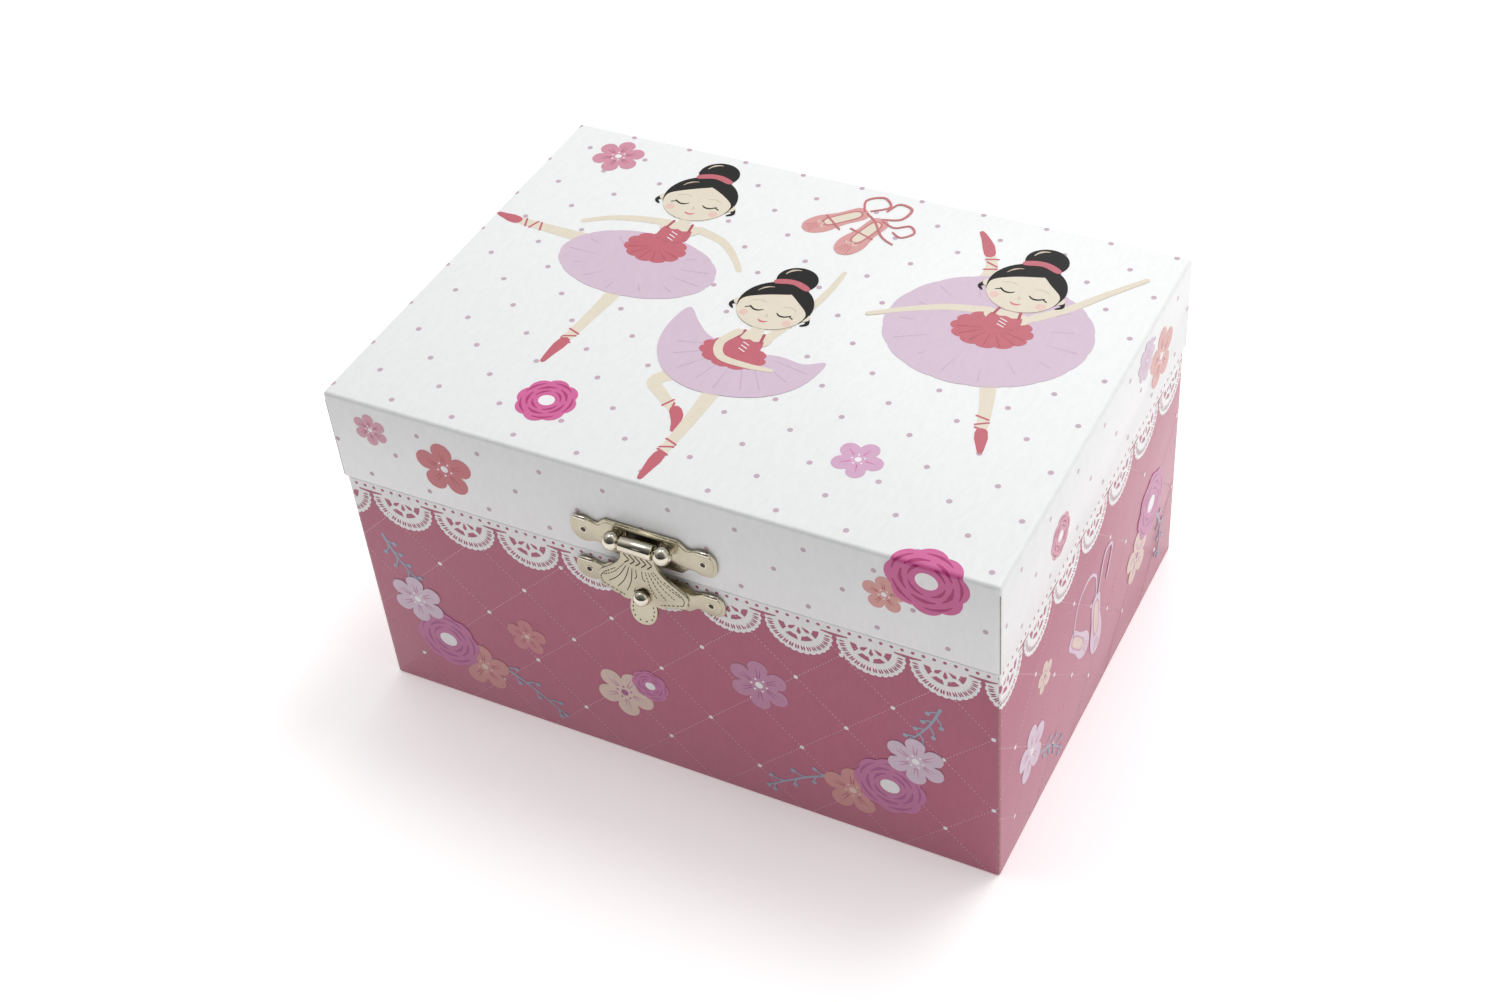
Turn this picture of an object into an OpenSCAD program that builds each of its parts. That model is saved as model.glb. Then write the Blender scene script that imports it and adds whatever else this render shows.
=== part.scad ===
// Musical jewellery box with a pop-up dancer. Millimetres. X right, Y to the back, Z up.
// The origin is the centre of the underside. The lid is closed, the hasp hangs over its stud
// and the dancer lies folded on its spring.

/* [Box] */
// Lid width
box_w = 150; // [125:1:190]
// Lid depth
box_d = 107; // [89:1:135]
// Height, lid closed
box_h = 84; // [70:1:110]
// Height of the lid
lid_h = 23; // [19:0.5:28]
// How much smaller the case is than the lid, each side
case_inset = 0.5; // [0.2:0.1:1.5]
// Greyboard thickness
board_t = 2; // [1.5:0.1:2.6]
// Printed paper thickness
paper_t = 0.2; // [0.1:0.05:0.4]
// Flock lining thickness
lining_t = 0.5; // [0.3:0.1:0.8]
// Gap at the seam between case and lid
seam_gap = 0.15; // [0.1:0.05:0.6]

/* [Inside] */
// Width of the movement bay in the middle
bay_w = 52; // [50:1:60]
// Thickness of the dividers
divider_t = 1.5; // [1:0.1:2.5]
// Free height from the deck to the lid
clear_h = 29; // [28:0.5:33]
// Diameter of a ring roll
roll_d = 11; // [9:0.5:13]

/* [Hardware] */
// Radius of the lid hinge pins
hinge_pin_r = 0.6; // [0.4:0.05:0.9]
// Distance of each hinge from the middle
hinge_x = 42; // [32:1:54]
// Length of a hinge
hinge_len = 16; // [12:0.5:22]
// Radius of the hasp pin
hasp_pin_r = 0.5; // [0.4:0.05:0.8]
// Running clearance of pins and arbors
fit = 0.05; // [0.02:0.01:0.09]
// Width of the hasp plate
plate_w = 33; // [28:0.5:40]
// Thickness of the stamped plates
plate_t = 0.6; // [0.4:0.1:0.9]
// Radius of the ball stud
stud_r = 1.5; // [1.2:0.1:1.8]

/* [Music movement] */
// Gear module
gear_m = 0.8; // [0.7:0.05:0.9]
// Teeth of the crown wheel on the key arbor
crown_teeth = 24; // [20:2:28]
// Teeth of the drum pinion
pinion_teeth = 12; // [10:1:14]
// Teeth of the drum gear and the spindle gear
gear_teeth = 25; // [22:1:26]
// Teeth of the governor pinion
fan_teeth = 8; // [7:1:10]
// Radius of the drum
drum_r = 6.5; // [5.5:0.1:7]
// Radius of the key arbor
arbor_r = 1.5; // [1.2:0.1:2]
// Radius of the spindle and the drum arbor
spindle_r = 1.2; // [1:0.1:1.5]
// Radius of the stop rod
rod_r = 0.8; // [0.6:0.1:1.2]

/* [Dancer] */
// Height of the dancer above its spring
dancer_h = 39; // [32:0.5:41]
// Angle the dancer folds through
fold = 78; // [70:1:80]
// Free length of the spring
spring_len = 9; // [8:0.5:10]
// Radius of the spring coil
coil_r = 2.2; // [1.8:0.1:2.8]
// Radius of the tutu
tutu_r = 10; // [8:0.5:10.5]

/* [Hidden] */
seam = box_h - lid_h;
case_w = box_w - 2 * case_inset;
case_d = box_d - 2 * case_inset;
case_h = seam - seam_gap;
skin = paper_t + board_t;
in_w = case_w - 2 * skin;
in_d = case_d - 2 * skin;
floor_z = paper_t + board_t;
deck_z = box_h - clear_h;
back_in = in_d / 2;
turn_y = back_in - 44.8;
spread = gear_m * gear_teeth;
drum_y = turn_y + spread;
reach = min(in_d / 2 - lining_t - abs(turn_y) - 1.2, dancer_h + 4);
figure_s = min(dancer_h / 39, reach / 43);
crown_r = gear_m * crown_teeth / 2;
pinion_r = gear_m * pinion_teeth / 2;
fan_r = gear_m * fan_teeth / 2;
arbor_z = floor_z + crown_r + 2.4;
pinion_z = arbor_z + crown_r;
drum_z = pinion_z + 2.6;
gear_z = deck_z - 8.2;
drum_top = gear_z - 0.8;
top_z = deck_z - 4.4;
fan_beta = 160;
fan_c = spread / 2 + fan_r;
fan_x = fan_c * cos(fan_beta);
fan_y = drum_y + fan_c * sin(fan_beta);
notes = floor((drum_top - drum_z - 1) / 1);
turn_z = deck_z + lining_t + 0.4;
spring_z = turn_z + 1.4;
bend_r = spring_len / (fold * PI / 180);
knuckle_r = hinge_pin_r + 0.8;
pin_y = box_d / 2 + knuckle_r + 0.1;
hasp_y = -box_d / 2 - plate_t - 2.1;
hasp_z = seam + 8;
stud_z = seam - 5.1;
clasp_x = -0.8;
lid_nail_z = seam + 6.6;
side_x = bay_w / 2;
rod_x = 6 - side_x;
rod_y = back_in - 6;
slack = 0.1;
barrel_l = 7.4;
ball_r = 2;
ball_x = barrel_l / 2 + ball_r + 0.1;

$fn = 32;

card = [0.66, 0.63, 0.58];
pinkpaper = [0.80, 0.52, 0.62];
whitepaper = [0.95, 0.93, 0.94];
flock = [0.86, 0.55, 0.66];
nickel = [0.78, 0.75, 0.70];
brassy = [0.80, 0.66, 0.36];
steel = [0.62, 0.63, 0.66];
skintone = [0.95, 0.85, 0.76];
lilac = [0.86, 0.78, 0.86];

// ---------- repeated shapes ----------

module block(x0, x1, y0, y1, z0, z1) {
  translate([x0, y0, z0]) cube([x1 - x0, y1 - y0, z1 - z0]);
}

module ring_box(w, d, t, z0, z1) {
  difference() {
    block(-w / 2, w / 2, -d / 2, d / 2, z0, z1);
    block(-w / 2 + t, w / 2 - t, -d / 2 + t, d / 2 - t, z0 - 1, z1 + 1);
  }
}

// a cylinder along Y from y0 to y1
module bar_y(x, z, r, y0, y1) {
  translate([x, y1, z]) rotate([90, 0, 0]) cylinder(r = r, h = y1 - y0);
}

// a cylinder along X from x0 to x1
module bar_x(y, z, r, x0, x1) {
  translate([x0, y, z]) rotate([0, 90, 0]) cylinder(r = r, h = x1 - x0);
}

// a domed nail in a hinge leaf at the back, its head on the leaf
module dome_nail(x, z, y_face) {
  translate([x, y_face, z]) rotate([-90, 0, 0]) {
    rotate_extrude($fn = 20) polygon([[0, 0], [1.0, 0], [0.92, 0.3], [0.6, 0.5], [0, 0.58]]);
    translate([0, 0, -2]) cylinder(r = 0.35, h = 2, $fn = 16);
  }
}

// a flat pin in a plate at the front
module flat_pin(x, z, y_face) {
  translate([x, y_face, z]) rotate([90, 0, 0]) {
    cylinder(r = 0.6, h = 0.2, $fn = 20);
    translate([0, 0, -2]) cylinder(r = 0.35, h = 2, $fn = 16);
  }
}

module shank_hole(x, z, y_face, dir) {
  translate([x, y_face, z]) rotate([dir > 0 ? -90 : 90, 0, 0])
    translate([0, 0, -2]) cylinder(r = 0.35, h = 2, $fn = 16);
}

module case_nail_spots() {
  for (s = [-1, 1]) {
    translate([clasp_x + s * (plate_w / 2 - 2.9), 0, stud_z]) children(0);
    for (e = [-1, 1]) {
      translate([s * hinge_x + e * (hinge_len / 2 - 3), 0, seam - 6.5]) children(1);
    }
  }
}

module lid_nail_spots() {
  for (s = [-1, 1]) {
    translate([clasp_x + s * (plate_w / 2 - 3), 0, lid_nail_z]) children(0);
    for (e = [-1, 1]) {
      translate([s * hinge_x + e * (hinge_len / 2 - 3), 0, seam + 6.5]) children(1);
    }
  }
}

module case_nail_holes() {
  case_nail_spots() {
    shank_hole(0, 0, -case_d / 2 - plate_t, -1);
    shank_hole(0, 0, case_d / 2 + plate_t, 1);
  }
}

module lid_nail_holes() {
  lid_nail_spots() {
    shank_hole(0, 0, -box_d / 2 - plate_t, -1);
    shank_hole(0, 0, box_d / 2 + plate_t, 1);
  }
}

// flat gear with thin straight-sided teeth; a tooth stands at angle phase
module gear_2d(teeth, phase) {
  r = gear_m * teeth / 2;
  p = 360 / teeth;
  rotate(phase) polygon([for (k = [0 : teeth - 1]) each [
    for (q = [[-0.24, -1.05], [-0.16, 0], [-0.07, 0.8], [0.07, 0.8], [0.16, 0], [0.24, -1.05]])
      (r + q[1] * gear_m) * [cos((k + q[0]) * p), sin((k + q[0]) * p)]]]);
}

// phase of gear b so that it meshes with gear a in direction beta
function mate(za, pa, zb, beta) = beta + 180 + ((beta - pa) * za - 180) / zb;

module plate_2d(w, h) {
  difference() {
    union() {
      square([w - h * 0.9, h * 0.62], center = true);
      for (s = [-1, 1]) {
        translate([s * (w / 2 - h * 0.36), 0]) circle(r = h * 0.36);
        translate([s * (w / 2 - h * 0.72), h * 0.24]) circle(r = h * 0.26);
        translate([s * (w / 2 - h * 0.72), -h * 0.24]) circle(r = h * 0.26);
        translate([s * w * 0.13, h * 0.2]) circle(r = h * 0.3);
        translate([s * w * 0.13, -h * 0.2]) circle(r = h * 0.3);
      }
    }
    for (s = [-1, 1]) {
      translate([s * w * 0.232, h * 0.56]) circle(r = h * 0.2);
      translate([s * w * 0.232, -h * 0.56]) circle(r = h * 0.2);
    }
  }
}

// ---------- case ----------

module base_board() {
  color(card)
    block(-case_w / 2 + paper_t, case_w / 2 - paper_t, -case_d / 2 + paper_t,
      case_d / 2 - paper_t, paper_t, floor_z);
}

module base_sheet() {
  color(whitepaper)
    block(-case_w / 2 + paper_t, case_w / 2 - paper_t, -case_d / 2 + paper_t,
      case_d / 2 - paper_t, 0, paper_t);
}

module front_board() {
  color(card) difference() {
    block(-case_w / 2 + paper_t, case_w / 2 - paper_t, -case_d / 2 + paper_t, -in_d / 2,
      floor_z, case_h - paper_t);
    case_nail_holes();
  }
}

module back_board() {
  color(card) difference() {
    block(-case_w / 2 + paper_t, case_w / 2 - paper_t, in_d / 2, case_d / 2 - paper_t,
      floor_z, case_h - paper_t);
    case_nail_holes();
    bar_y(0, arbor_z, arbor_r + 1, in_d / 2 - 1, case_d / 2 + 1);
  }
}

module side_board(s) {
  scale([s, 1, 1])
    block(in_w / 2, case_w / 2 - paper_t, -in_d / 2, in_d / 2, floor_z, case_h - paper_t);
}

module left_board() {
  color(card) side_board(-1);
}

module right_board() {
  color(card) side_board(1);
}

module case_wrap() {
  color(pinkpaper) difference() {
    union() {
      ring_box(case_w, case_d, paper_t, 0, case_h);
      ring_box(case_w - 2 * paper_t, case_d - 2 * paper_t, board_t, case_h - paper_t, case_h);
    }
    case_nail_holes();
    bar_y(0, arbor_z, arbor_r + 1, in_d / 2 - 1, case_d / 2 + 1);
  }
}

module wall_lining() {
  color(flock) difference() {
    ring_box(in_w, in_d, lining_t, floor_z + lining_t, case_h - 0.8);
    block(-side_x - divider_t, side_x + divider_t, in_d / 2 - lining_t - 1, in_d / 2 + 1, 0,
      deck_z + lining_t);
    for (s = [-1, 1]) {
      translate([s * side_x, 0, 0])
        block(s > 0 ? 0 : -divider_t, s > 0 ? divider_t : 0, -in_d, 0, 0, deck_z - 3);
    }
  }
}

module floor_lining() {
  color(flock) difference() {
    block(-in_w / 2, in_w / 2, -in_d / 2, in_d / 2, floor_z, floor_z + lining_t);
    block(-side_x - divider_t, side_x + divider_t, cross_y, in_d / 2 + 1, 0, 9);
    for (s = [-1, 1]) {
      translate([s * side_x, 0, 0])
        block(s > 0 ? 0 : -divider_t, s > 0 ? divider_t : 0, -in_d, in_d, 0, 9);
    }
  }
}

cross_y = turn_y - spread / 2 - 3.4;

module long_dividers() {
  color(flock) for (s = [-1, 1]) {
    translate([s * side_x, 0, 0]) {
      block(s > 0 ? 0 : -divider_t, s > 0 ? divider_t : 0, -in_d / 2, cross_y, floor_z, deck_z - 3);
      block(s > 0 ? 0 : -divider_t, s > 0 ? divider_t : 0, cross_y, in_d / 2, floor_z, deck_z - 2);
    }
  }
}

module cross_wall() {
  color(flock)
    block(-side_x, side_x, cross_y, cross_y + divider_t, floor_z, deck_z - 2);
}

module tray_divider() {
  color(flock)
    block(-in_w / 2 + lining_t, -side_x - divider_t, -divider_t / 2, divider_t / 2,
      floor_z + lining_t, deck_z - 14);
}

module deck_holes(grow) {
  translate([0, turn_y, deck_z - 5]) cylinder(r = spindle_r + fit + grow, h = 10);
  translate([rod_x, rod_y, deck_z - 5]) cylinder(r = rod_r + fit + grow, h = 10);
}

module deck() {
  color(card) difference() {
    block(-side_x - divider_t, side_x + divider_t, cross_y, in_d / 2, deck_z - 2, deck_z);
    deck_holes(0);
  }
}

module deck_lining() {
  color(flock) difference() {
    block(-side_x - divider_t, side_x + divider_t, cross_y, in_d / 2, deck_z, deck_z + lining_t);
    deck_holes(0.5);
  }
}

module ring_rolls() {
  x0 = side_x + divider_t + slack;
  x1 = in_w / 2 - lining_t - slack;
  span = in_d - 2 * lining_t - 0.4;
  count = floor(span / (roll_d + 0.2));
  pitch = span / count;
  color(flock) {
    block(x0, x1, -span / 2, span / 2, floor_z + lining_t, deck_z - 20);
    for (k = [0 : count - 1]) {
      bar_x(-span / 2 + (k + 0.5) * pitch, deck_z - 20 + roll_d / 2 - 0.6, roll_d / 2, x0, x1);
    }
  }
}

// ---------- hinges ----------

module hinge_parts(top) {
  face = top ? box_d / 2 : case_d / 2;
  k = (hinge_len - 0.4) / 3;
  dir = top ? 1 : -1;
  r = knuckle_r;
  z0 = top ? seam + r + 0.3 : seam - 10.5;
  z1 = top ? seam + 10.5 : seam - r - 0.3;
  for (s = [-1, 1]) {
    translate([s * hinge_x, 0, 0]) difference() {
      union() {
        block(-hinge_len / 2, hinge_len / 2, face, face + plate_t, z0, z1);
        if (top) {
          bar_x(pin_y, seam, r, -k / 2, k / 2);
          block(-k / 2, k / 2, face, pin_y, seam + 0.7, z0 + 0.5);
        }
        if (!top) {
          for (e = [-1, 1]) {
            c = e * (k + 0.2);
            bar_x(pin_y, seam, r, c - k / 2, c + k / 2);
            block(c - k / 2, c + k / 2, face, pin_y, z1 - 0.5, seam - 0.7);
          }
        }
      }
      bar_x(pin_y, seam, hinge_pin_r + (top ? fit : 0), -hinge_len, hinge_len);
      for (e = [-1, 1]) {
        shank_hole(e * (hinge_len / 2 - 3), seam + dir * 6.5, face + plate_t, 1);
      }
    }
  }
}

module case_hinge_leaves() {
  color(nickel) hinge_parts(false);
}

module lid_hinge_leaves() {
  color(nickel) hinge_parts(true);
}

module hinge_pins() {
  color(steel) for (s = [-1, 1]) {
    bar_x(pin_y, seam, hinge_pin_r, s * hinge_x - hinge_len / 2, s * hinge_x + hinge_len / 2);
  }
}

module case_nails() {
  color(nickel) case_nail_spots() {
    flat_pin(0, 0, -case_d / 2 - plate_t);
    dome_nail(0, 0, case_d / 2 + plate_t);
  }
}

module lid_nails() {
  color(nickel) lid_nail_spots() {
    flat_pin(0, 0, -box_d / 2 - plate_t);
    dome_nail(0, 0, box_d / 2 + plate_t);
  }
}

// ---------- hasp ----------

// a plate standing on the front face at y
module front_plate(y) {
  translate([clasp_x, y, 0]) rotate([90, 0, 0]) linear_extrude(height = plate_t) children();
}

module catch_plate() {
  color(nickel) difference() {
    front_plate(-case_d / 2) translate([0, stud_z]) plate_2d(plate_w + 1, 7);
    case_nail_holes();
    bar_y(clasp_x, stud_z, 0.8, -case_d / 2 - 1, -case_d / 2 + 1);
  }
}

module catch_stud() {
  y = hasp_y - 1.3;
  color(nickel) {
    bar_y(clasp_x, stud_z, 0.8, y, -case_d / 2);
    translate([clasp_x, y, stud_z]) sphere(r = stud_r, $fn = 24);
  }
}

module hasp_plate() {
  color(nickel) difference() {
    union() {
      front_plate(-box_d / 2) translate([0, lid_nail_z]) plate_2d(plate_w, 8.4);
      for (s = [-1, 1]) {
        translate([clasp_x + s * ball_x, hasp_y, hasp_z]) sphere(r = ball_r, $fn = 24);
        bar_y(clasp_x + s * ball_x, hasp_z, 1.1, hasp_y, -box_d / 2 - plate_t + 0.1);
      }
    }
    lid_nail_holes();
    bar_x(hasp_y, hasp_z, hasp_pin_r, clasp_x - 7, clasp_x + 7);
  }
}

module hasp_pin() {
  color(nickel) bar_x(hasp_y, hasp_z, hasp_pin_r, clasp_x - 7, clasp_x + 7);
}

// the stamped tongue seen from the front, its pivot at the origin
module tongue_2d() {
  half = [[4.2, -2.4], [4.7, -4.2], [6.2, -6.2], [8.6, -8.2], [10, -9.6], [10.3, -10.8],
    [9.7, -12.2]];
  last = len(half) - 1;
  difference() {
    union() {
      translate([-barrel_l / 2, -8]) square([barrel_l, 7.6]);
      polygon(concat(half, [for (k = [last : -1 : 0]) [-half[k][0], half[k][1]]]));
      for (k = [-3 : 3]) {
        translate([k * 2.75, -12.1 - 1.9 * cos(k * 26)]) circle(r = 1.62, $fn = 20);
      }
      translate([-6, -13.6]) square([12, 3]);
      translate([0, -16.4]) scale([3, 4.6]) circle(r = 1, $fn = 28);
    }
    hull() {
      translate([0, stud_z - hasp_z + 0.7]) circle(r = stud_r + 0.25, $fn = 24);
      translate([0, stud_z - hasp_z - 0.2]) circle(r = stud_r + 0.25, $fn = 24);
    }
  }
}

module hasp_tongue() {
  r = 1.7;
  color(nickel) difference() {
    union() {
      translate([clasp_x, hasp_y + 0.5, hasp_z]) rotate([90, 0, 0])
        linear_extrude(height = 0.8) tongue_2d();
      bar_x(hasp_y, hasp_z, r, clasp_x - barrel_l / 2, clasp_x + barrel_l / 2);
    }
    bar_x(hasp_y, hasp_z, hasp_pin_r + fit, clasp_x - 9, clasp_x + 9);
  }
}

// ---------- lid ----------

lz0 = seam + paper_t;
lz1 = box_h - paper_t - board_t;

module lid_top_board() {
  color(card)
    block(-box_w / 2 + paper_t, box_w / 2 - paper_t, -box_d / 2 + paper_t, box_d / 2 - paper_t,
      lz1, box_h - paper_t);
}

module lid_end_board(s) {
  a = box_d / 2 - skin;
  b = box_d / 2 - paper_t;
  difference() {
    block(-box_w / 2 + paper_t, box_w / 2 - paper_t, s > 0 ? a : -b, s > 0 ? b : -a, lz0, lz1);
    lid_nail_holes();
  }
}

module lid_side_board(s) {
  scale([s, 1, 1])
    block(box_w / 2 - skin, box_w / 2 - paper_t, -box_d / 2 + skin, box_d / 2 - skin, lz0, lz1);
}

module lid_front_board() {
  color(card) lid_end_board(-1);
}

module lid_back_board() {
  color(card) lid_end_board(1);
}

module lid_left_board() {
  color(card) lid_side_board(-1);
}

module lid_right_board() {
  color(card) lid_side_board(1);
}

module lid_wrap() {
  color(whitepaper) difference() {
    union() {
      ring_box(box_w, box_d, paper_t, seam, box_h);
      ring_box(box_w - 2 * paper_t, box_d - 2 * paper_t, board_t, seam, lz0);
      block(-box_w / 2 + paper_t, box_w / 2 - paper_t, -box_d / 2 + paper_t,
        box_d / 2 - paper_t, box_h - paper_t, box_h);
    }
    lid_nail_holes();
  }
}

module lid_lining() {
  w = box_w - 2 * skin;
  d = box_d - 2 * skin;
  color(flock) {
    ring_box(w, d, lining_t, seam + 0.8, lz1 - lining_t);
    block(-w / 2, w / 2, -d / 2, d / 2, lz1 - lining_t, lz1);
  }
}

mirror_w = box_w * 0.64;
mirror_d = box_d * 0.6;

module mirror() {
  color([0.75, 0.82, 0.86])
    block(-mirror_w / 2, mirror_w / 2, -mirror_d / 2, mirror_d / 2, lz1 - lining_t - 1.2,
      lz1 - lining_t);
}

module mirror_frame() {
  color(flock) difference() {
    ring_box(mirror_w + 6, mirror_d + 6, 5, lz1 - lining_t - 1.8, lz1 - lining_t);
    block(-mirror_w / 2, mirror_w / 2, -mirror_d / 2, mirror_d / 2, lz1 - lining_t - 1.2,
      lz1 + 1);
  }
}

module stop_block() {
  b = box_d / 2 - skin - lining_t;
  color(flock) block(rod_x - 3, rod_x + 3, b - 7.5, b, seam + 1.6, lz1 - lining_t);
}

// ---------- music movement ----------

bed_y = back_in - 2;

module bedplate() {
  color(nickel) difference() {
    block(-side_x + 1, side_x - 1, bed_y, back_in, floor_z + 0.5, top_z + 1.5);
    bar_y(0, arbor_z, arbor_r + fit, bed_y - 1, back_in + 1);
    for (s = [-1, 1]) {
      bar_y(s * (side_x - 4), floor_z + 4, 0.8, bed_y - 1, back_in + 1);
    }
  }
}

module spring_housing() {
  color(brassy) difference() {
    translate([0, bed_y, arbor_z]) rotate([90, 0, 0]) rotate_extrude($fn = 48)
      polygon([[0, 0], [crown_r + 1, 0], [crown_r + 1, bed_y - hs_y - 1],
        [crown_r, bed_y - hs_y], [0, bed_y - hs_y]]);
    bar_y(0, arbor_z, arbor_r + fit, hs_y - 1, bed_y + 1);
  }
}

face_y = drum_y + pinion_r;
wheel_y = face_y + 0.85 * gear_m + 0.1;
hs_y = wheel_y + 3;

module comb() {
  tip = drum_r + 0.62;
  root = side_x - 8;
  color(steel) {
    block(root, root + 6, drum_y - 0.4, drum_y + 0.4, drum_z + 0.5, drum_z + notes + 0.5);
    for (k = [0 : notes - 1]) {
      block(tip, root, drum_y - 0.3, drum_y + 0.3, drum_z + k + 0.6, drum_z + k + 1.4);
    }
  }
}

module comb_base() {
  root = side_x - 8;
  color(nickel) block(root + 1, root + 6, drum_y + 0.4, bed_y, drum_z - 1, drum_z + notes + 2);
}

module movement_screws() {
  color(steel) {
    for (s = [-1, 1]) {
      translate([s * (side_x - 4), bed_y, floor_z + 4]) rotate([90, 0, 0]) {
        cylinder(r = 1.6, h = 0.9, $fn = 20);
        translate([0, 0, -2]) cylinder(r = 0.8, h = 2, $fn = 20);
      }
    }
    for (f = [0.2, 0.8]) {
      bar_y(side_x - 5, drum_z + 0.5 + f * notes, min(1, 0.2 * notes), drum_y - 1.2, drum_y - 0.4);
    }
  }
}

module foot_bearing() {
  color(brassy) difference() {
    translate([0, drum_y, floor_z]) cylinder(r = 3.2, h = 5);
    translate([0, drum_y, floor_z + 1.6]) cylinder(r = spindle_r + fit, h = 9);
  }
}

module spindle_post() {
  color([0.78, 0.66, 0.48]) difference() {
    translate([0, turn_y, floor_z]) cylinder(r = 4, h = gear_z - 1 - floor_z);
    translate([0, turn_y, gear_z - 13]) cylinder(r = spindle_r + fit, h = 20);
  }
}

arm_z = max(arbor_z + crown_r + 1.6, drum_z - 1.4);

module governor_arm() {
  color(nickel) difference() {
    union() {
      translate([fan_x, fan_y, arm_z]) cylinder(r = 2.4, h = 1.5);
      block(fan_x - 2.4, fan_x + 2.4, fan_y, bed_y, arm_z, arm_z + 1.5);
    }
    translate([fan_x, fan_y, arm_z - 1]) cylinder(r = 0.6 + fit, h = 5, $fn = 20);
  }
}

module top_plate() {
  color(nickel) difference() {
    block(fan_x - 3, 6, drum_y - 5, bed_y, top_z, top_z + 1.5);
    translate([0, drum_y, top_z - 1]) cylinder(r = spindle_r + fit, h = 5);
    translate([fan_x, fan_y, top_z - 1]) cylinder(r = 0.6 + fit, h = 5, $fn = 20);
  }
}

module bow_2d() {
  difference() {
    union() {
      for (s = [-1, 1]) {
        translate([s * 6, 3.2]) circle(r = 5);
      }
      translate([-3, -2.6]) square([6, 7.6]);
    }
    for (s = [-1, 1]) {
      translate([s * 6.4, 3.4]) circle(r = 2.6);
    }
  }
}

module winding_key() {
  y0 = case_d / 2 + 1.2;
  y1 = y0 + 9;
  color(nickel) difference() {
    union() {
      bar_y(0, arbor_z, 2.6, y0, y1);
      translate([0, y1, arbor_z - 0.8]) linear_extrude(height = 1.6) bow_2d();
    }
    bar_y(0, arbor_z, arbor_r, y0 - 1, y0 + 6);
  }
}

module key_arbor() {
  color(steel) bar_y(0, arbor_z, arbor_r, wheel_y + 2.2, case_d / 2 + 7.2);
}

module drive_wheel() {
  n = crown_teeth;
  arc = 2 * PI * crown_r / n;
  rise = wheel_y - (face_y - 0.8 * gear_m);
  color(brassy) translate([0, wheel_y, arbor_z]) rotate([90, 0, 0]) {
    translate([0, 0, -2.2]) cylinder(r = crown_r + 1.3, h = 2.2, $fn = 48);
    for (k = [0 : n - 1]) {
      rotate(90 + k * 360 / n) translate([crown_r + 1, 0, 0]) rotate([0, -90, 0])
        linear_extrude(height = 2) polygon([[-0.3, -0.22 * arc], [0, -0.22 * arc],
          [rise, -0.08 * arc], [rise, 0.08 * arc], [0, 0.22 * arc], [-0.3, 0.22 * arc]]);
    }
  }
}

module music_drum() {
  color(brassy) difference() {
    union() {
      translate([0, drum_y, drum_z]) cylinder(r = drum_r, h = drum_top - drum_z, $fn = 48);
      for (k = [0 : notes - 1]) {
        for (j = [0 : 2]) {
          a = 137.5 * k + j * 120 + 17 * sin(k * 71 + j * 40);
          translate([0, drum_y, drum_z + k + 0.85]) rotate(a)
            translate([drum_r - 0.3, -0.15, 0]) cube([0.7, 0.3, 0.3]);
        }
      }
    }
    translate([0, drum_y, drum_z - 1]) cylinder(r = spindle_r, h = 80);
  }
}

drum_phase = -90;
pinion_phase = 90 + 180 / pinion_teeth;

module drum_arbor() {
  color(steel) translate([0, drum_y, 0]) {
    translate([0, 0, floor_z + 1.8]) cylinder(r = spindle_r, h = top_z + 2.2 - floor_z - 1.8);
    translate([0, 0, pinion_z - 1.4]) linear_extrude(height = 2.8)
      gear_2d(pinion_teeth, pinion_phase);
    translate([0, 0, gear_z]) linear_extrude(height = 2.6) gear_2d(gear_teeth, drum_phase);
  }
}

module turntable_spindle() {
  color(steel) translate([0, turn_y, 0]) {
    translate([0, 0, gear_z - 12.6]) cylinder(r = spindle_r, h = turn_z + 1 - gear_z + 12.6);
    translate([0, 0, gear_z]) linear_extrude(height = 2.6)
      gear_2d(gear_teeth, mate(gear_teeth, drum_phase, gear_teeth, -90));
  }
}

module turntable() {
  color([0.93, 0.90, 0.92]) difference() {
    translate([0, turn_y, turn_z]) rotate_extrude($fn = 48)
      polygon([[0, 0], [9.4, 0], [10, 0.5], [9.6, 1], [4, 1.4], [0, 1.4]]);
    translate([0, turn_y, turn_z - 1]) cylinder(r = spindle_r, h = 2);
  }
}

module governor() {
  color(brassy) translate([fan_x, fan_y, 0]) {
    translate([0, 0, arm_z - 0.4]) cylinder(r = 0.6, h = top_z + 2 - arm_z + 0.4, $fn = 20);
    translate([0, 0, gear_z]) linear_extrude(height = 2.6)
      gear_2d(fan_teeth, mate(gear_teeth, drum_phase, fan_teeth, fan_beta));
    translate([0, 0, arm_z + 3]) cylinder(r = 1.4, h = 1.2, $fn = 20);
    for (s = [0, 180]) {
      rotate(s + 20) block(0.3, 5.4, -0.25, 0.25, arm_z + 2.6, gear_z - 1.4);
    }
  }
}

module stop_rod() {
  z1 = seam + 1.5;
  color(steel) {
    translate([rod_x, rod_y, arm_z + 6]) cylinder(r = rod_r, h = z1 - arm_z - 6, $fn = 24);
    translate([rod_x, rod_y, z1 - 0.9]) cylinder(r = 1.8, h = 0.9, $fn = 24);
    bar_y(rod_x, arm_z + 6, rod_r, fan_y + 4.6, rod_y);
  }
}

// ---------- dancer ----------

function bend(s) = [-bend_r * (1 - cos(fold * s)), bend_r * sin(fold * s)];

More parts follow.
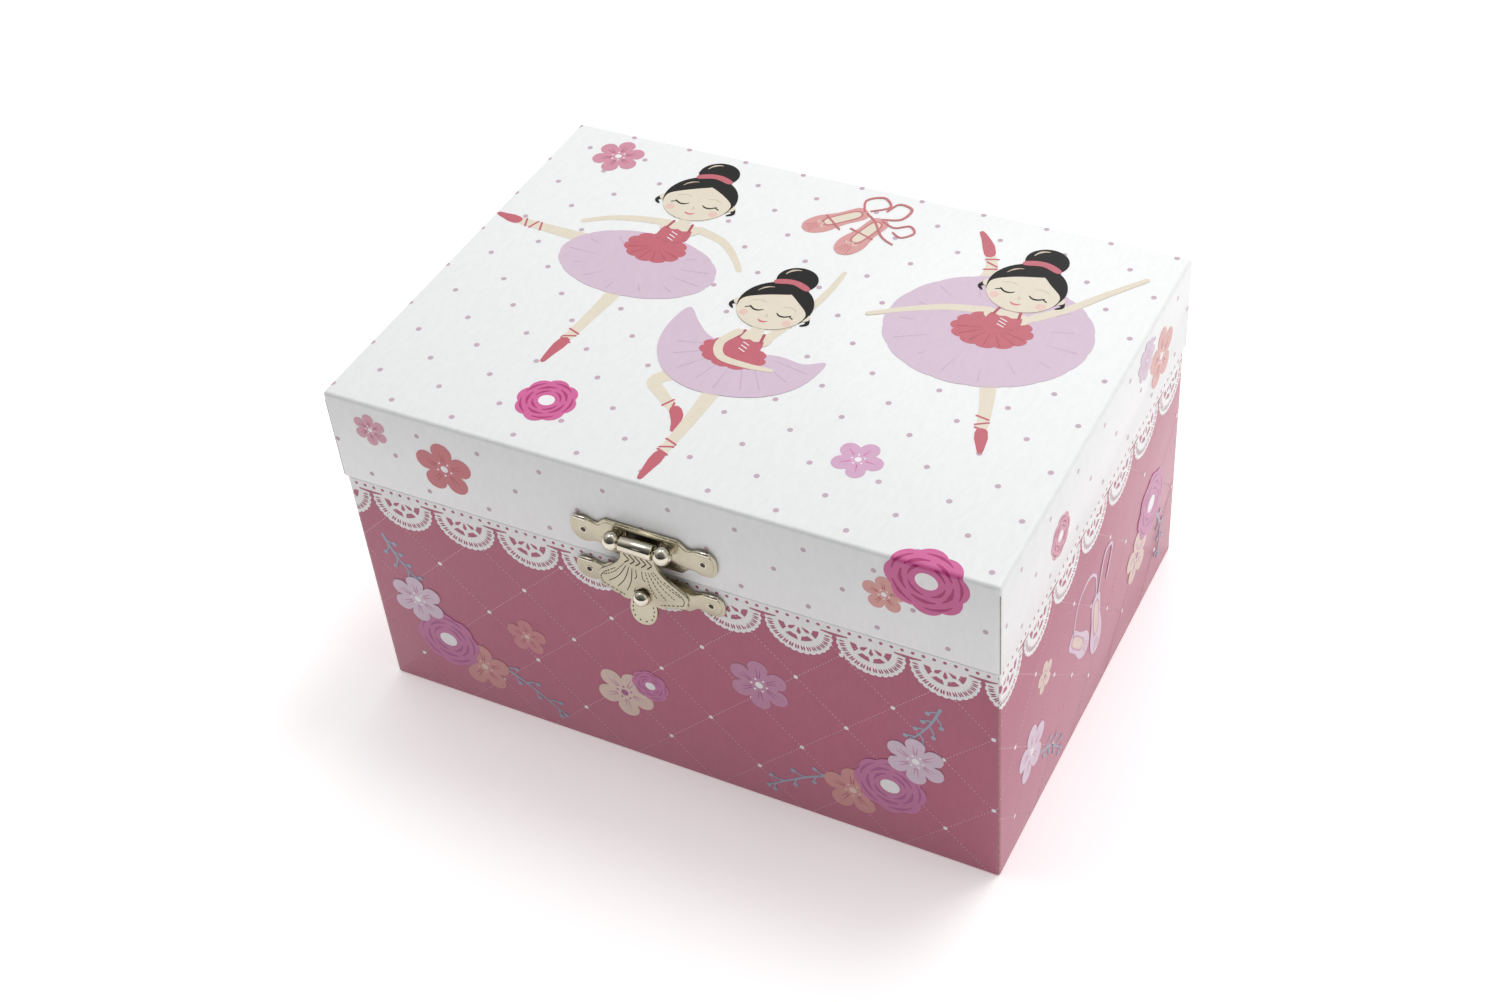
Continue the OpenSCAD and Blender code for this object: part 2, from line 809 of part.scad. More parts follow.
module dancer_spring() {
  turns = 6;
  per = 12;
  side = 6;
  wire = 0.36;
  n = turns * per;
  pts = [for (i = [0 : n]) for (j = [0 : side - 1])
    let (s = 0.04 + 0.92 * i / n, a = 360 * i / per, b = 360 * j / side,
      q = (coil_r + wire * cos(b)), w = wire * sin(b), c = bend(s), f = fold * s)
    [q * cos(a), turn_y + c[0] + q * sin(a) * cos(f) - w * sin(f),
      spring_z + c[1] + q * sin(a) * sin(f) + w * cos(f)]];
  color(nickel) polyhedron(points = pts, faces = concat(
    [[for (j = [0 : side - 1]) j]],
    [[for (j = [side - 1 : -1 : 0]) n * side + j]],
    [for (i = [0 : n - 1]) for (j = [0 : side - 1]) for (t = [0, 1])
      t == 0 ? [i * side + j, (i + 1) * side + j, i * side + (j + 1) % side]
        : [(i + 1) * side + j, (i + 1) * side + (j + 1) % side, i * side + (j + 1) % side]]));
}

// places a child drawn upright above the spring's free end, in the folded position
module folded() {
  translate([0, turn_y + bend(1)[0], spring_z + bend(1)[1]]) rotate([fold, 0, 0])
    scale(figure_s) children();
}

module limb(pts, r) {
  for (k = [0 : len(pts) - 2]) {
    hull() {
      translate(pts[k]) sphere(r = r[k], $fn = 10);
      translate(pts[k + 1]) sphere(r = r[k + 1], $fn = 10);
    }
  }
}

module dancer_cup() {
  color(whitepaper) folded() translate([0, 0, 0]) cylinder(r = coil_r + 0.5, h = 1.4);
}

module dancer_figure() {
  color(skintone) folded() {
    translate([0, 0, 1.4]) cylinder(r1 = 0.7, r2 = 1.0, h = 3);
    limb([[0, 0, 4], [0.1, 0, 9], [0.5, 0, 14.7]], [0.8, 1.1, 1.6]);
    limb([[-0.8, 0, 14.6], [-4.6, -0.8, 12], [-0.9, 0, 8.6]], [1.5, 1.15, 0.7]);
    translate([0, 0, 14.7]) cylinder(r = 0.95, h = 14.3);
    translate([0, 0, 31]) scale([1, 1, 1.18]) sphere(r = 2.5, $fn = 24);
    limb([[0.5, 0, 24.8], [2.2, 0, 24.6], [5.2, -1.2, 29], [3.6, -1.4, 34.4], [1.2, -1.4, 37]],
      [0.9, 0.95, 0.8, 0.6, 0.45]);
    limb([[-0.5, 0, 24.8], [-2.2, 0, 24.6], [-5.2, -1.2, 29], [-3.6, -1.4, 34.4], [-1.2, -1.4, 37]],
      [0.9, 0.95, 0.8, 0.6, 0.45]);
  }
}

module dancer_bodice() {
  color([0.86, 0.45, 0.58]) folded() translate([0, 0, 17.2]) rotate_extrude($fn = 28)
    polygon([[0.95, 0], [2.5, 0], [1.8, 2.6], [2.15, 5], [2.2, 6.2], [0.95, 6.2]]);
}

module dancer_tutu() {
  color(lilac) folded() translate([0, 0, 15.4]) rotate_extrude($fn = 40)
    polygon([[0.95, 1.8], [0.95, 1.1], [2, 1.1], [6, -0.2], [tutu_r, -3.4], [tutu_r + 0.2, -3.1],
      [6.2, 0.4], [2.6, 1.8]]);
}

module dancer_hair() {
  color([0.16, 0.10, 0.09]) folded() {
    difference() {
      union() {
        translate([0, 0.4, 31.4]) scale([1, 1, 1.12]) sphere(r = 2.75, $fn = 24);
        translate([0, 1.2, 34.6]) sphere(r = 1.4, $fn = 20);
      }
      translate([0, 0, 31]) scale([1, 1, 1.18]) sphere(r = 2.57, $fn = 24);
      translate([-4, -8, 26]) cube([8, 7.2, 6.8]);
    }
  }
}

base_board();
front_board();
back_board();
left_board();
right_board();
case_wrap();
base_sheet();
wall_lining();
floor_lining();
long_dividers();
cross_wall();
tray_divider();
deck();
deck_lining();
ring_rolls();
case_hinge_leaves();
hinge_pins();
case_nails();
catch_plate();
catch_stud();
bedplate();
spring_housing();
comb();
comb_base();
movement_screws();
foot_bearing();
spindle_post();
governor_arm();
top_plate();
lid_top_board();
lid_front_board();
lid_back_board();
lid_left_board();
lid_right_board();
lid_wrap();
lid_lining();
mirror();
mirror_frame();
lid_hinge_leaves();
lid_nails();
hasp_plate();
hasp_pin();
stop_block();
hasp_tongue();
winding_key();
key_arbor();
drive_wheel();
music_drum();
drum_arbor();
turntable_spindle();
turntable();
dancer_spring();
governor();
stop_rod();
dancer_cup();
dancer_figure();
dancer_bodice();
dancer_tutu();
dancer_hair();
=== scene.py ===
# Musical jewellery box with a pop-up dancer: papers, print, nickel fittings, flock and figure.
# X right, Y to the back, Z up, metres; the print and the small parts are laid out in millimetres.
import math
import bpy
import bmesh
from mathutils import Matrix, Vector


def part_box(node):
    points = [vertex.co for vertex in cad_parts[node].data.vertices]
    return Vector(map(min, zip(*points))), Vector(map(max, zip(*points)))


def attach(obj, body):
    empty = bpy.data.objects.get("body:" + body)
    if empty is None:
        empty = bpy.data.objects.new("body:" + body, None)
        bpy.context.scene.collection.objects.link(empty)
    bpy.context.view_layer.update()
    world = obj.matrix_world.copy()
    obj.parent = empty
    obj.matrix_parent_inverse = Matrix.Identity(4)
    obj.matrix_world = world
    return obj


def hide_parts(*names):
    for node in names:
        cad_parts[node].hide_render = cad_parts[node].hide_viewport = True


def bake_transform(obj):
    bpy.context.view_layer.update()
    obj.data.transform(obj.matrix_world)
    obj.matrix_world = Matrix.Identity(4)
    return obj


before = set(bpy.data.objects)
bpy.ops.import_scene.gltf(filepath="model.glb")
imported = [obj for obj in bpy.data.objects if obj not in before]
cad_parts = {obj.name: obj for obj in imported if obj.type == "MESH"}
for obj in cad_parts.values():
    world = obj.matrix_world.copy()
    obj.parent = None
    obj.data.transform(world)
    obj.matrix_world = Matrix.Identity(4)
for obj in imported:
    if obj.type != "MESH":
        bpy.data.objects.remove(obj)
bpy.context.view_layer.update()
mm = 0.001


def corners(node):
    low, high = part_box(node)
    return [round(v * 1000, 4) for v in low], [round(v * 1000, 4) for v in high]


lidLow, lidHigh = corners("lid_wrap")
_, caseHigh = corners("case_wrap")
box = {
    "width": lidHigh[0] - lidLow[0],
    "depth": lidHigh[1] - lidLow[1],
    "height": lidHigh[2],
    "seam": lidLow[2],
    "inset": lidHigh[0] - caseHigh[0],
    "corner": 0.9,      # radius of the paper over the board's edges
    "paper": 0.2,
    "rim": 2.2,         # board and paper together
}


cameraPlace = {"at": (0.18136, -0.31646, 0.36642), "turn": (47.58, 4.31, 26.89), "lens": 53.0}


def addCamera():
    bpy.ops.object.camera_add(location=cameraPlace["at"],
                              rotation=[math.radians(a) for a in cameraPlace["turn"]])
    camera = bpy.context.object
    camera.data.lens = cameraPlace["lens"]
    camera.data.sensor_width = 36
    camera.data.clip_start = 0.01
    bpy.context.scene.camera = camera


studio = {
    "sky": 0.95,
    "dark": 0.02,
    "tentWay": (0.12, 0.42, 0.72),
    "tentFade": (-0.55, 0.75),
    "roomWay": (0.2, -0.85, 0.48),      # towards the unlit room the viewer stands in
    "roomFade": (0.45, 0.8),
    "room": 0.25,
    "white": (1, 0.995, 0.99, 1),
    "key": (4.7, (0.25, 0.42, 1.35), 0.42),
    "fill": (1.2, (-0.5, -0.1, 1.35), 0.35),
    "back": (1.7, (-0.1, 1.1, 1.0), 0.8),
    "front": (0.06, (-0.5, -1.2, 0.5), 0.2),
}


def addLight(name, power, at, size):
    bpy.ops.object.light_add(type="AREA", location=at)
    lamp = bpy.context.object
    lamp.name = name
    lamp.data.energy = power
    lamp.data.shape = "DISK"
    lamp.data.size = size
    lamp.rotation_euler = (Vector((0, 0, 0.04)) - Vector(at)).to_track_quat("-Z", "Y").to_euler()


def addStudio():
    bpy.context.scene.view_settings.view_transform = "Standard"
    world = bpy.data.worlds.new("studio")
    bpy.context.scene.world = world
    world.use_nodes = True
    tree = world.node_tree
    # a tent that is bright above and behind and falls off towards the viewer
    place = tree.nodes.new("ShaderNodeTexCoord")
    slope = tree.nodes.new("ShaderNodeVectorMath")
    slope.operation = "DOT_PRODUCT"
    slope.inputs[1].default_value = studio["tentWay"]
    tree.links.new(place.outputs["Generated"], slope.inputs[0])
    shade = tree.nodes.new("ShaderNodeMapRange")
    shade.interpolation_type = "SMOOTHSTEP"
    shade.inputs["From Min"].default_value = studio["tentFade"][0]
    shade.inputs["From Max"].default_value = studio["tentFade"][1]
    shade.inputs["To Min"].default_value = studio["dark"]
    shade.inputs["To Max"].default_value = studio["sky"]
    tree.links.new(slope.outputs["Value"], shade.inputs["Value"])
    facingRoom = tree.nodes.new("ShaderNodeVectorMath")
    facingRoom.operation = "DOT_PRODUCT"
    facingRoom.inputs[1].default_value = studio["roomWay"]
    tree.links.new(place.outputs["Generated"], facingRoom.inputs[0])
    dim = tree.nodes.new("ShaderNodeMapRange")
    dim.interpolation_type = "SMOOTHSTEP"
    dim.inputs["From Min"].default_value = studio["roomFade"][0]
    dim.inputs["From Max"].default_value = studio["roomFade"][1]
    dim.inputs["To Min"].default_value = 1
    dim.inputs["To Max"].default_value = studio["room"]
    tree.links.new(facingRoom.outputs["Value"], dim.inputs["Value"])
    strength = tree.nodes.new("ShaderNodeMath")
    strength.operation = "MULTIPLY"
    tree.links.new(shade.outputs["Result"], strength.inputs[0])
    tree.links.new(dim.outputs["Result"], strength.inputs[1])
    tree.nodes["Background"].inputs["Color"].default_value = studio["white"]
    tree.links.new(strength.outputs["Value"], tree.nodes["Background"].inputs["Strength"])
    for name in ("key", "fill", "back", "front"):
        addLight(name, *studio[name])
    bpy.ops.mesh.primitive_plane_add(size=40)
    floor = bpy.context.object
    floor.name = "floor"
    floor.data.materials.append(plainFinish("floorPaint", (0.99, 0.985, 0.985), 0.6, 0.3))


def linear(colour):
    return tuple((c / 12.92 if c <= 0.04045 else ((c + 0.055) / 1.055) ** 2.4) for c in colour)


def startFinish(name, colour, roughness, metallic=0.0):
    made = bpy.data.materials.new(name)
    made.use_nodes = True
    shader = made.node_tree.nodes["Principled BSDF"]
    shader.inputs["Base Color"].default_value = (*linear(colour), 1)
    shader.inputs["Roughness"].default_value = roughness
    shader.inputs["Metallic"].default_value = metallic
    return made, made.node_tree, shader


def plainFinish(name, colour, roughness, glow=0.0):
    made, _, shader = startFinish(name, colour, roughness)
    shader.inputs["Emission Color"].default_value = (*linear(colour), 1)
    shader.inputs["Emission Strength"].default_value = glow
    return made


def objectPlace(tree, scale=(1, 1, 1)):
    place = tree.nodes.new("ShaderNodeTexCoord")
    mapping = tree.nodes.new("ShaderNodeMapping")
    mapping.inputs["Scale"].default_value = scale
    tree.links.new(place.outputs["Object"], mapping.inputs["Vector"])
    return mapping.outputs["Vector"]


def noise(tree, vector, scale, detail=3, roughness=0.55):
    made = tree.nodes.new("ShaderNodeTexNoise")
    made.inputs["Scale"].default_value = scale
    made.inputs["Detail"].default_value = detail
    made.inputs["Roughness"].default_value = roughness
    tree.links.new(vector, made.inputs["Vector"])
    return made.outputs["Fac"]


def bump(tree, shader, height, strength, distance):
    made = tree.nodes.new("ShaderNodeBump")
    made.inputs["Strength"].default_value = strength
    made.inputs["Distance"].default_value = distance
    tree.links.new(height, made.inputs["Height"])
    tree.links.new(made.outputs["Normal"], shader.inputs["Normal"])


def shadeBetween(tree, factor, low, high, start=0.3, end=0.7):
    ramp = tree.nodes.new("ShaderNodeValToRGB")
    ramp.color_ramp.elements[0].position = start
    ramp.color_ramp.elements[0].color = (*linear(low), 1)
    ramp.color_ramp.elements[1].position = end
    ramp.color_ramp.elements[1].color = (*linear(high), 1)
    tree.links.new(factor, ramp.inputs["Fac"])
    return ramp.outputs["Color"]


def range01(tree, factor, low, high):
    made = tree.nodes.new("ShaderNodeMapRange")
    made.inputs["To Min"].default_value = low
    made.inputs["To Max"].default_value = high
    tree.links.new(factor, made.inputs["Value"])
    return made.outputs["Result"]


paperLook = {"roughness": 0.34, "coat": 0.22, "coatRoughness": 0.1, "fibre": 1100, "waves": 38}


def printedPaper(name, colour, roughness=None, gloss=1.0):
    # glossy laminate over printed paper: faint fibres, a slow ripple and a little mottle
    made, tree, shader = startFinish(name, colour, roughness or paperLook["roughness"])
    shader.inputs["Coat Weight"].default_value = paperLook["coat"] * gloss
    shader.inputs["Specular IOR Level"].default_value = 0.5 * gloss
    shader.inputs["Coat Roughness"].default_value = paperLook["coatRoughness"]
    place = objectPlace(tree)
    fibre = noise(tree, objectPlace(tree, (1, 0.35, 0.35)), paperLook["fibre"], 4)
    ripple = noise(tree, place, paperLook["waves"], 2)
    darker = tuple(max(0, c - 0.012) for c in colour)
    lighter = tuple(min(1, c + 0.006) for c in colour)
    tree.links.new(shadeBetween(tree, fibre, darker, lighter), shader.inputs["Base Color"])
    tree.links.new(range01(tree, ripple, paperLook["roughness"] - 0.05,
                           paperLook["roughness"] + 0.08), shader.inputs["Roughness"])
    height = tree.nodes.new("ShaderNodeMath")
    height.operation = "MULTIPLY_ADD"
    height.inputs[1].default_value = 0.12
    tree.links.new(fibre, height.inputs[0])
    tree.links.new(ripple, height.inputs[2])
    bump(tree, shader, height.outputs["Value"], 0.07, 0.0002)
    return made


def metalFinish(name, colour, roughness, stain, scratch=1400, spread=0.12):
    made, tree, shader = startFinish(name, colour, roughness, 1.0)
    place = objectPlace(tree)
    cloud = noise(tree, place, 160, 4)
    fine = noise(tree, objectPlace(tree, (1, 0.15, 1)), scratch, 2)
    tree.links.new(shadeBetween(tree, cloud, stain, colour, 0.32, 0.62), shader.inputs["Base Color"])
    tree.links.new(range01(tree, fine, max(0.02, roughness - spread / 2), roughness + spread),
                   shader.inputs["Roughness"])
    bump(tree, shader, fine, spread, 0.00008)
    return made


def flockFinish(name, colour, shade):
    # short dense flock: soft mottle, a light edge from sheen, a fine nap
    made, tree, shader = startFinish(name, colour, 0.95)
    shader.inputs["Sheen Weight"].default_value = 0.6
    shader.inputs["Sheen Roughness"].default_value = 0.35
    shader.inputs["Sheen Tint"].default_value = (*linear((1.0, 0.86, 0.92)), 1)
    shader.inputs["Specular IOR Level"].default_value = 0.15
    nap = noise(tree, objectPlace(tree), 2600, 3, 0.7)
    stroke = noise(tree, objectPlace(tree, (1, 0.5, 1)), 60, 3)
    blend = tree.nodes.new("ShaderNodeMath")
    blend.operation = "MULTIPLY_ADD"
    blend.inputs[1].default_value = 0.45
    tree.links.new(nap, blend.inputs[0])
    tree.links.new(stroke, blend.inputs[2])
    tree.links.new(shadeBetween(tree, blend.outputs["Value"], shade, colour, 0.45, 0.95),
                   shader.inputs["Base Color"])
    bump(tree, shader, nap, 0.5, 0.0004)
    return made


def boardFinish():
    made, tree, shader = startFinish("greyboard", (0.62, 0.59, 0.54), 0.9)
    fleck = noise(tree, objectPlace(tree), 700, 5, 0.7)
    tree.links.new(shadeBetween(tree, fleck, (0.5, 0.47, 0.43), (0.7, 0.67, 0.62)),
                   shader.inputs["Base Color"])
    bump(tree, shader, fleck, 0.4, 0.0002)
    return made


def plasticFinish(name, colour, roughness, coat=0.2):
    made, tree, shader = startFinish(name, colour, roughness)
    shader.inputs["Coat Weight"].default_value = coat
    cloud = noise(tree, objectPlace(tree), 240, 3)
    low = tuple(c * 0.95 for c in colour)
    tree.links.new(shadeBetween(tree, cloud, low, colour), shader.inputs["Base Color"])
    tree.links.new(range01(tree, cloud, roughness - 0.06, roughness + 0.08),
                   shader.inputs["Roughness"])
    bump(tree, shader, cloud, 0.08, 0.0001)
    return made


def mirrorFinish():
    made, tree, shader = startFinish("silvered", (0.93, 0.95, 0.96), 0.02, 1.0)
    haze = noise(tree, objectPlace(tree), 30, 2)
    tree.links.new(range01(tree, haze, 0.01, 0.045), shader.inputs["Roughness"])
    return made


def tulleFinish():
    made, tree, shader = startFinish("tulle", (0.87, 0.76, 0.87), 0.75)
    shader.inputs["Sheen Weight"].default_value = 0.4
    shader.inputs["Specular IOR Level"].default_value = 0.2
    weave = noise(tree, objectPlace(tree), 3000, 2)
    tree.links.new(shadeBetween(tree, weave, (0.80, 0.66, 0.80), (0.93, 0.84, 0.92)),
                   shader.inputs["Base Color"])
    bump(tree, shader, weave, 0.5, 0.0002)
    return made


inkColours = {
    "dots": (0.78, 0.68, 0.74),
    "lilac": (0.845, 0.755, 0.83),
    "pleat": (0.775, 0.68, 0.765),
    "red": (0.775, 0.375, 0.435),
    "redDeep": (0.70, 0.30, 0.37),
    "skin": (0.905, 0.865, 0.79),
    "skinLine": (0.82, 0.76, 0.67),
    "black": (0.07, 0.055, 0.055),
    "lips": (0.85, 0.45, 0.48),
    "palePink": (0.92, 0.78, 0.74),
    "magenta": (0.83, 0.38, 0.61),
    "magentaDeep": (0.69, 0.14, 0.43),
    "white": (0.96, 0.955, 0.96),
    "mauve": (0.84, 0.66, 0.785),
    "softPink": (0.83, 0.56, 0.65),
    "dustyPink": (0.85, 0.63, 0.70),
    "coral": (0.80, 0.45, 0.48),
    "coralDeep": (0.74, 0.33, 0.38),
    "peach": (0.87, 0.63, 0.61),
    "salmon": (0.86, 0.62, 0.61),
    "salmonDeep": (0.78, 0.45, 0.46),
    "lace": (0.95, 0.945, 0.95),
    "quilt": (0.86, 0.66, 0.735),
    "twig": (0.62, 0.66, 0.74),
    "purple": (0.78, 0.46, 0.64),
    "purpleDeep": (0.67, 0.35, 0.56),
    "palePetal": (0.86, 0.77, 0.84),
    "cream": (0.88, 0.78, 0.73),
    "bodyPeach": (0.83, 0.58, 0.57),
    "bodySalmon": (0.80, 0.52, 0.54),
    "bodyMauve": (0.77, 0.53, 0.66),
    "petalVein": (0.70, 0.34, 0.45),
}


def makeFinishes():
    made = {
        "whitePaper": printedPaper("whitePaper", (0.95, 0.955, 0.958)),
        "pinkPaper": printedPaper("pinkPaper", (0.715, 0.345, 0.465)),
        "plainPaper": printedPaper("plainPaper", (0.92, 0.905, 0.905), 0.5),
        "flock": flockFinish("flock", (0.90, 0.62, 0.71), (0.80, 0.47, 0.58)),
        "velvet": flockFinish("velvet", (0.93, 0.68, 0.76), (0.83, 0.50, 0.61)),
        "nickel": metalFinish("nickel", (0.745, 0.72, 0.64), 0.2, (0.69, 0.66, 0.58), 700, 0.05),
        # a brighter, glossier copy of the nickel for the polished parts; its raised colour is partly
        # painted highlight, most of all on the rolled lobe tops
        "polishedNickelAndHighlight": metalFinish("polishedNickelAndHighlight", (0.88, 0.86, 0.80), 0.05, (0.82, 0.79, 0.72),
                                    900, 0.03),
        "steel": metalFinish("steel", (0.60, 0.61, 0.63), 0.25, (0.48, 0.49, 0.51)),
        "brass": metalFinish("brass", (0.80, 0.66, 0.36), 0.28, (0.66, 0.50, 0.24)),
        "greyboard": boardFinish(),
        "mirror": mirrorFinish(),
        "whitePlastic": plasticFinish("whitePlastic", (0.95, 0.94, 0.94), 0.3, 0.5),
        "postPlastic": plasticFinish("postPlastic", (0.84, 0.78, 0.64), 0.5),
        "skin": plasticFinish("skin", (0.96, 0.84, 0.76), 0.4, 0.25),
        "rosePlastic": plasticFinish("rosePlastic", (0.86, 0.47, 0.57), 0.35, 0.3),
        "hair": plasticFinish("hair", (0.20, 0.12, 0.10), 0.3, 0.4),
        "tulle": tulleFinish(),
        # a dark steel used only for painted shade: the sheet behind the clasp window and the pin heads
        "paintedShadeSteel": metalFinish("paintedShadeSteel", (0.30, 0.28, 0.25), 0.35, (0.2, 0.19, 0.17)),
        # a dark finish for the stamped dashes: painted shade of the pressed dots and dashes
        "stamped": metalFinish("stamped", (0.33, 0.29, 0.22), 0.5, (0.24, 0.21, 0.16)),
    }
    for name, colour in inkColours.items():
        made[name] = printedPaper("ink_" + name, colour, gloss=0.3 if name == "black" else 0.8)
    return made


def deselect():
    if bpy.context.object and bpy.context.object.mode != "OBJECT":
        bpy.ops.object.mode_set(mode="OBJECT")
    bpy.ops.object.select_all(action="DESELECT")


def pick(obj):
    deselect()
    obj.select_set(True)
    bpy.context.view_layer.objects.active = obj


def settle(obj):
    # put the place into the mesh, so the object itself sits at the origin
    pick(obj)
    bpy.ops.object.transform_apply(location=True, rotation=True, scale=True)


def applyModifier(obj, kind, **settings):
    pick(obj)
    modifier = obj.modifiers.new(kind.lower(), kind)
    for name, value in settings.items():
        setattr(modifier, name, value)
    bpy.ops.object.modifier_apply(modifier=modifier.name)


def smooth(obj, angle=35):
    pick(obj)
    bpy.ops.object.shade_smooth_by_angle(angle=math.radians(angle))


def finish(obj, name, finishName, body, slotName=None, *replaced):
    obj.name = name
    obj.data.name = name
    obj.data.materials.clear()
    obj.data.materials.append(finishes[finishName])
    if replaced:
        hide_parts(*replaced)
    if body:
        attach(obj, body)
    return obj


def joinAll(objs, name):
    deselect()
    for obj in objs:
        obj.select_set(True)
    bpy.context.view_layer.objects.active = objs[0]
    if len(objs) > 1:
        bpy.ops.object.join()
    objs[0].name = name
    return objs[0]


def addBlock(low, high):
    # a cube from one corner to the other, in millimetres
    size = [b - a for a, b in zip(low, high)]
    middle = [(a + b) / 2 * mm for a, b in zip(low, high)]
    deselect()
    bpy.ops.mesh.primitive_cube_add(size=mm, location=middle)
    obj = bpy.context.object
    obj.scale = size
    settle(obj)
    return obj


def editFaces(obj, wanted):
    # edit mode with just these faces selected
    pick(obj)
    bpy.ops.object.mode_set(mode="EDIT")
    bpy.ops.mesh.select_mode(type="FACE")
    bpy.ops.mesh.select_all(action="DESELECT")
    mesh = bmesh.from_edit_mesh(obj.data)
    for face in mesh.faces:
        face.select_set(wanted(face))
    bmesh.update_edit_mesh(obj.data)


def editEdges(obj, wanted):
    pick(obj)
    bpy.ops.object.mode_set(mode="EDIT")
    bpy.ops.mesh.select_mode(type="EDGE")
    bpy.ops.mesh.select_all(action="DESELECT")
    mesh = bmesh.from_edit_mesh(obj.data)
    for edge in mesh.edges:
        edge.select_set(wanted(edge))
    bmesh.update_edit_mesh(obj.data)


def endEdit():
    bpy.ops.object.mode_set(mode="OBJECT")


def upright(edge):
    a, b = edge.verts
    return abs(a.co.z - b.co.z) > 0.5 * (a.co - b.co).length


def levelAt(edge, z):
    return all(abs(v.co.z - z * mm) < 1e-6 for v in edge.verts)


def onOutline(edge, halfX, halfY):
    return all(abs(abs(v.co.x) - halfX * mm) < 1e-6 or abs(abs(v.co.y) - halfY * mm) < 1e-6
               for v in edge.verts)


def lidPaper():
    halfX = box["width"] / 2
    halfY = box["depth"] / 2
    paper = addBlock((-halfX, -halfY, box["seam"]), (halfX, halfY, box["height"]))
    editFaces(paper, lambda f: f.normal.z < -0.9)
    bpy.ops.mesh.inset(thickness=box["rim"] * mm)
    bpy.ops.mesh.extrude_region_move(TRANSFORM_OT_translate={"value": (0, 0, 0.9 * mm)})
    bpy.ops.mesh.delete(type="FACE")
    editEdges(paper, lambda e: onOutline(e, halfX, halfY)
              and (upright(e) or levelAt(e, box["height"])))
    bpy.ops.mesh.bevel(offset=box["corner"] * mm, segments=4)
    editEdges(paper, lambda e: levelAt(e, box["seam"]) and not e.is_boundary
              and any(f.normal.z > -0.5 for f in e.link_faces))
    bpy.ops.mesh.bevel(offset=0.35 * mm, segments=2)
    endEdit()
    applyModifier(paper, "SOLIDIFY", thickness=box["paper"] * mm, offset=-1)
    smooth(paper)
    return finish(paper, "lidPaper", "whitePaper", "lid", "white_print", "lid_wrap")


def casePaper():
    halfX = box["width"] / 2 - box["inset"]
    halfY = box["depth"] / 2 - box["inset"]
    top = caseHigh[2]
    paper = addBlock((-halfX, -halfY, 0), (halfX, halfY, top))
    editFaces(paper, lambda f: f.normal.z > 0.9)
    bpy.ops.mesh.inset(thickness=box["rim"] * mm)
    bpy.ops.mesh.extrude_region_move(TRANSFORM_OT_translate={"value": (0, 0, -0.9 * mm)})
    bpy.ops.mesh.delete(type="FACE")
    editFaces(paper, lambda f: f.normal.z < -0.9)
    bpy.ops.mesh.inset(thickness=4 * mm)
    bpy.ops.mesh.delete(type="FACE")
    editEdges(paper, lambda e: onOutline(e, halfX, halfY) and upright(e))
    bpy.ops.mesh.bevel(offset=box["corner"] * mm, segments=4)
    editEdges(paper, lambda e: (levelAt(e, top) or levelAt(e, 0)) and not e.is_boundary
              and any(abs(f.normal.z) < 0.5 for f in e.link_faces))
    bpy.ops.mesh.bevel(offset=0.4 * mm, segments=3)
    endEdit()
    applyModifier(paper, "SOLIDIFY", thickness=box["paper"] * mm, offset=-1)
    smooth(paper)
    finish(paper, "casePaper", "pinkPaper", "case", "pink_print", "case_wrap")
    # the white band above the lace folds over the rim
    paper.data.materials.append(finishes["whitePaper"])
    for face in paper.data.polygons:
        if face.center.z > (top - 0.6) * mm:
            face.material_index = 1
    sheet = addBlock((-halfX + 4, -halfY + 4, 0), (halfX - 4, halfY - 4, box["paper"]))
    editEdges(sheet, upright)
    bpy.ops.mesh.bevel(offset=1.5 * mm, segments=3)
    endEdit()
    return finish(sheet, "baseSheet", "plainPaper", "case", "plain_paper", "base_sheet")


# each printed face: its top left corner seen from outside, the way across and its normal
def printedFaces():
    halfX = box["width"] / 2
    halfY = box["depth"] / 2
    top = box["height"]
    return {
        "top": ((-halfX, halfY, top), (1, 0, 0), (0, 0, 1), box["width"], box["depth"]),
        "front": ((-halfX, -halfY, top), (1, 0, 0), (0, -1, 0), box["width"], top),
        "right": ((halfX, -halfY, top), (0, 1, 0), (1, 0, 0), box["depth"], top),
        "back": ((halfX, halfY, top), (-1, 0, 0), (0, 1, 0), box["width"], top),
        "left": ((-halfX, halfY, top), (0, -1, 0), (-1, 0, 0), box["depth"], top),
    }


printing = {
    "scale": 0.9375,    # the artwork was drawn 160 mm wide and is printed at this scale
    "ink": 0.03,        # how far a print layer stands off the paper
    "layer": 0.012,     # each layer above the one below
    "sink": 0.06,       # how far it reaches into the paper
}


def surfacePoint(faceName, onLid, across, down, height):
    # a point of the artwork on the box, bending with the paper round its rounded edges
    origin, way, normal, width, length = printedFaces()[faceName]
    origin, way, normal = Vector(origin), Vector(way), Vector(normal)
    up = normal.cross(way)
    inset = 0 if onLid else box["inset"]
    r = box["corner"]
    point = origin - normal * inset

    def turned(value, low, high):
        # the straight part and the angle turned, for a distance measured along the paper
        if value > high - r:
            return high - r, (value - high + r) / r
        if value < low + r:
            return low + r, (value - low - r) / r
        return value, 0.0

    x, turnX = turned(across, inset, width - inset)
    y, turnY = down, 0.0
    if onLid:
        y, turnY = turned(down, 0, length if faceName == "top" else 10 * length)
    base = point + way * x - up * y
    lean = way * math.sin(turnX) - up * math.sin(turnY) * math.cos(turnX)
    stand = normal * math.cos(turnX) * math.cos(turnY)
    if turnX or turnY:
        return (base - normal * r + (lean + stand) * (r + height)) * mm
    return (base + normal * height) * mm


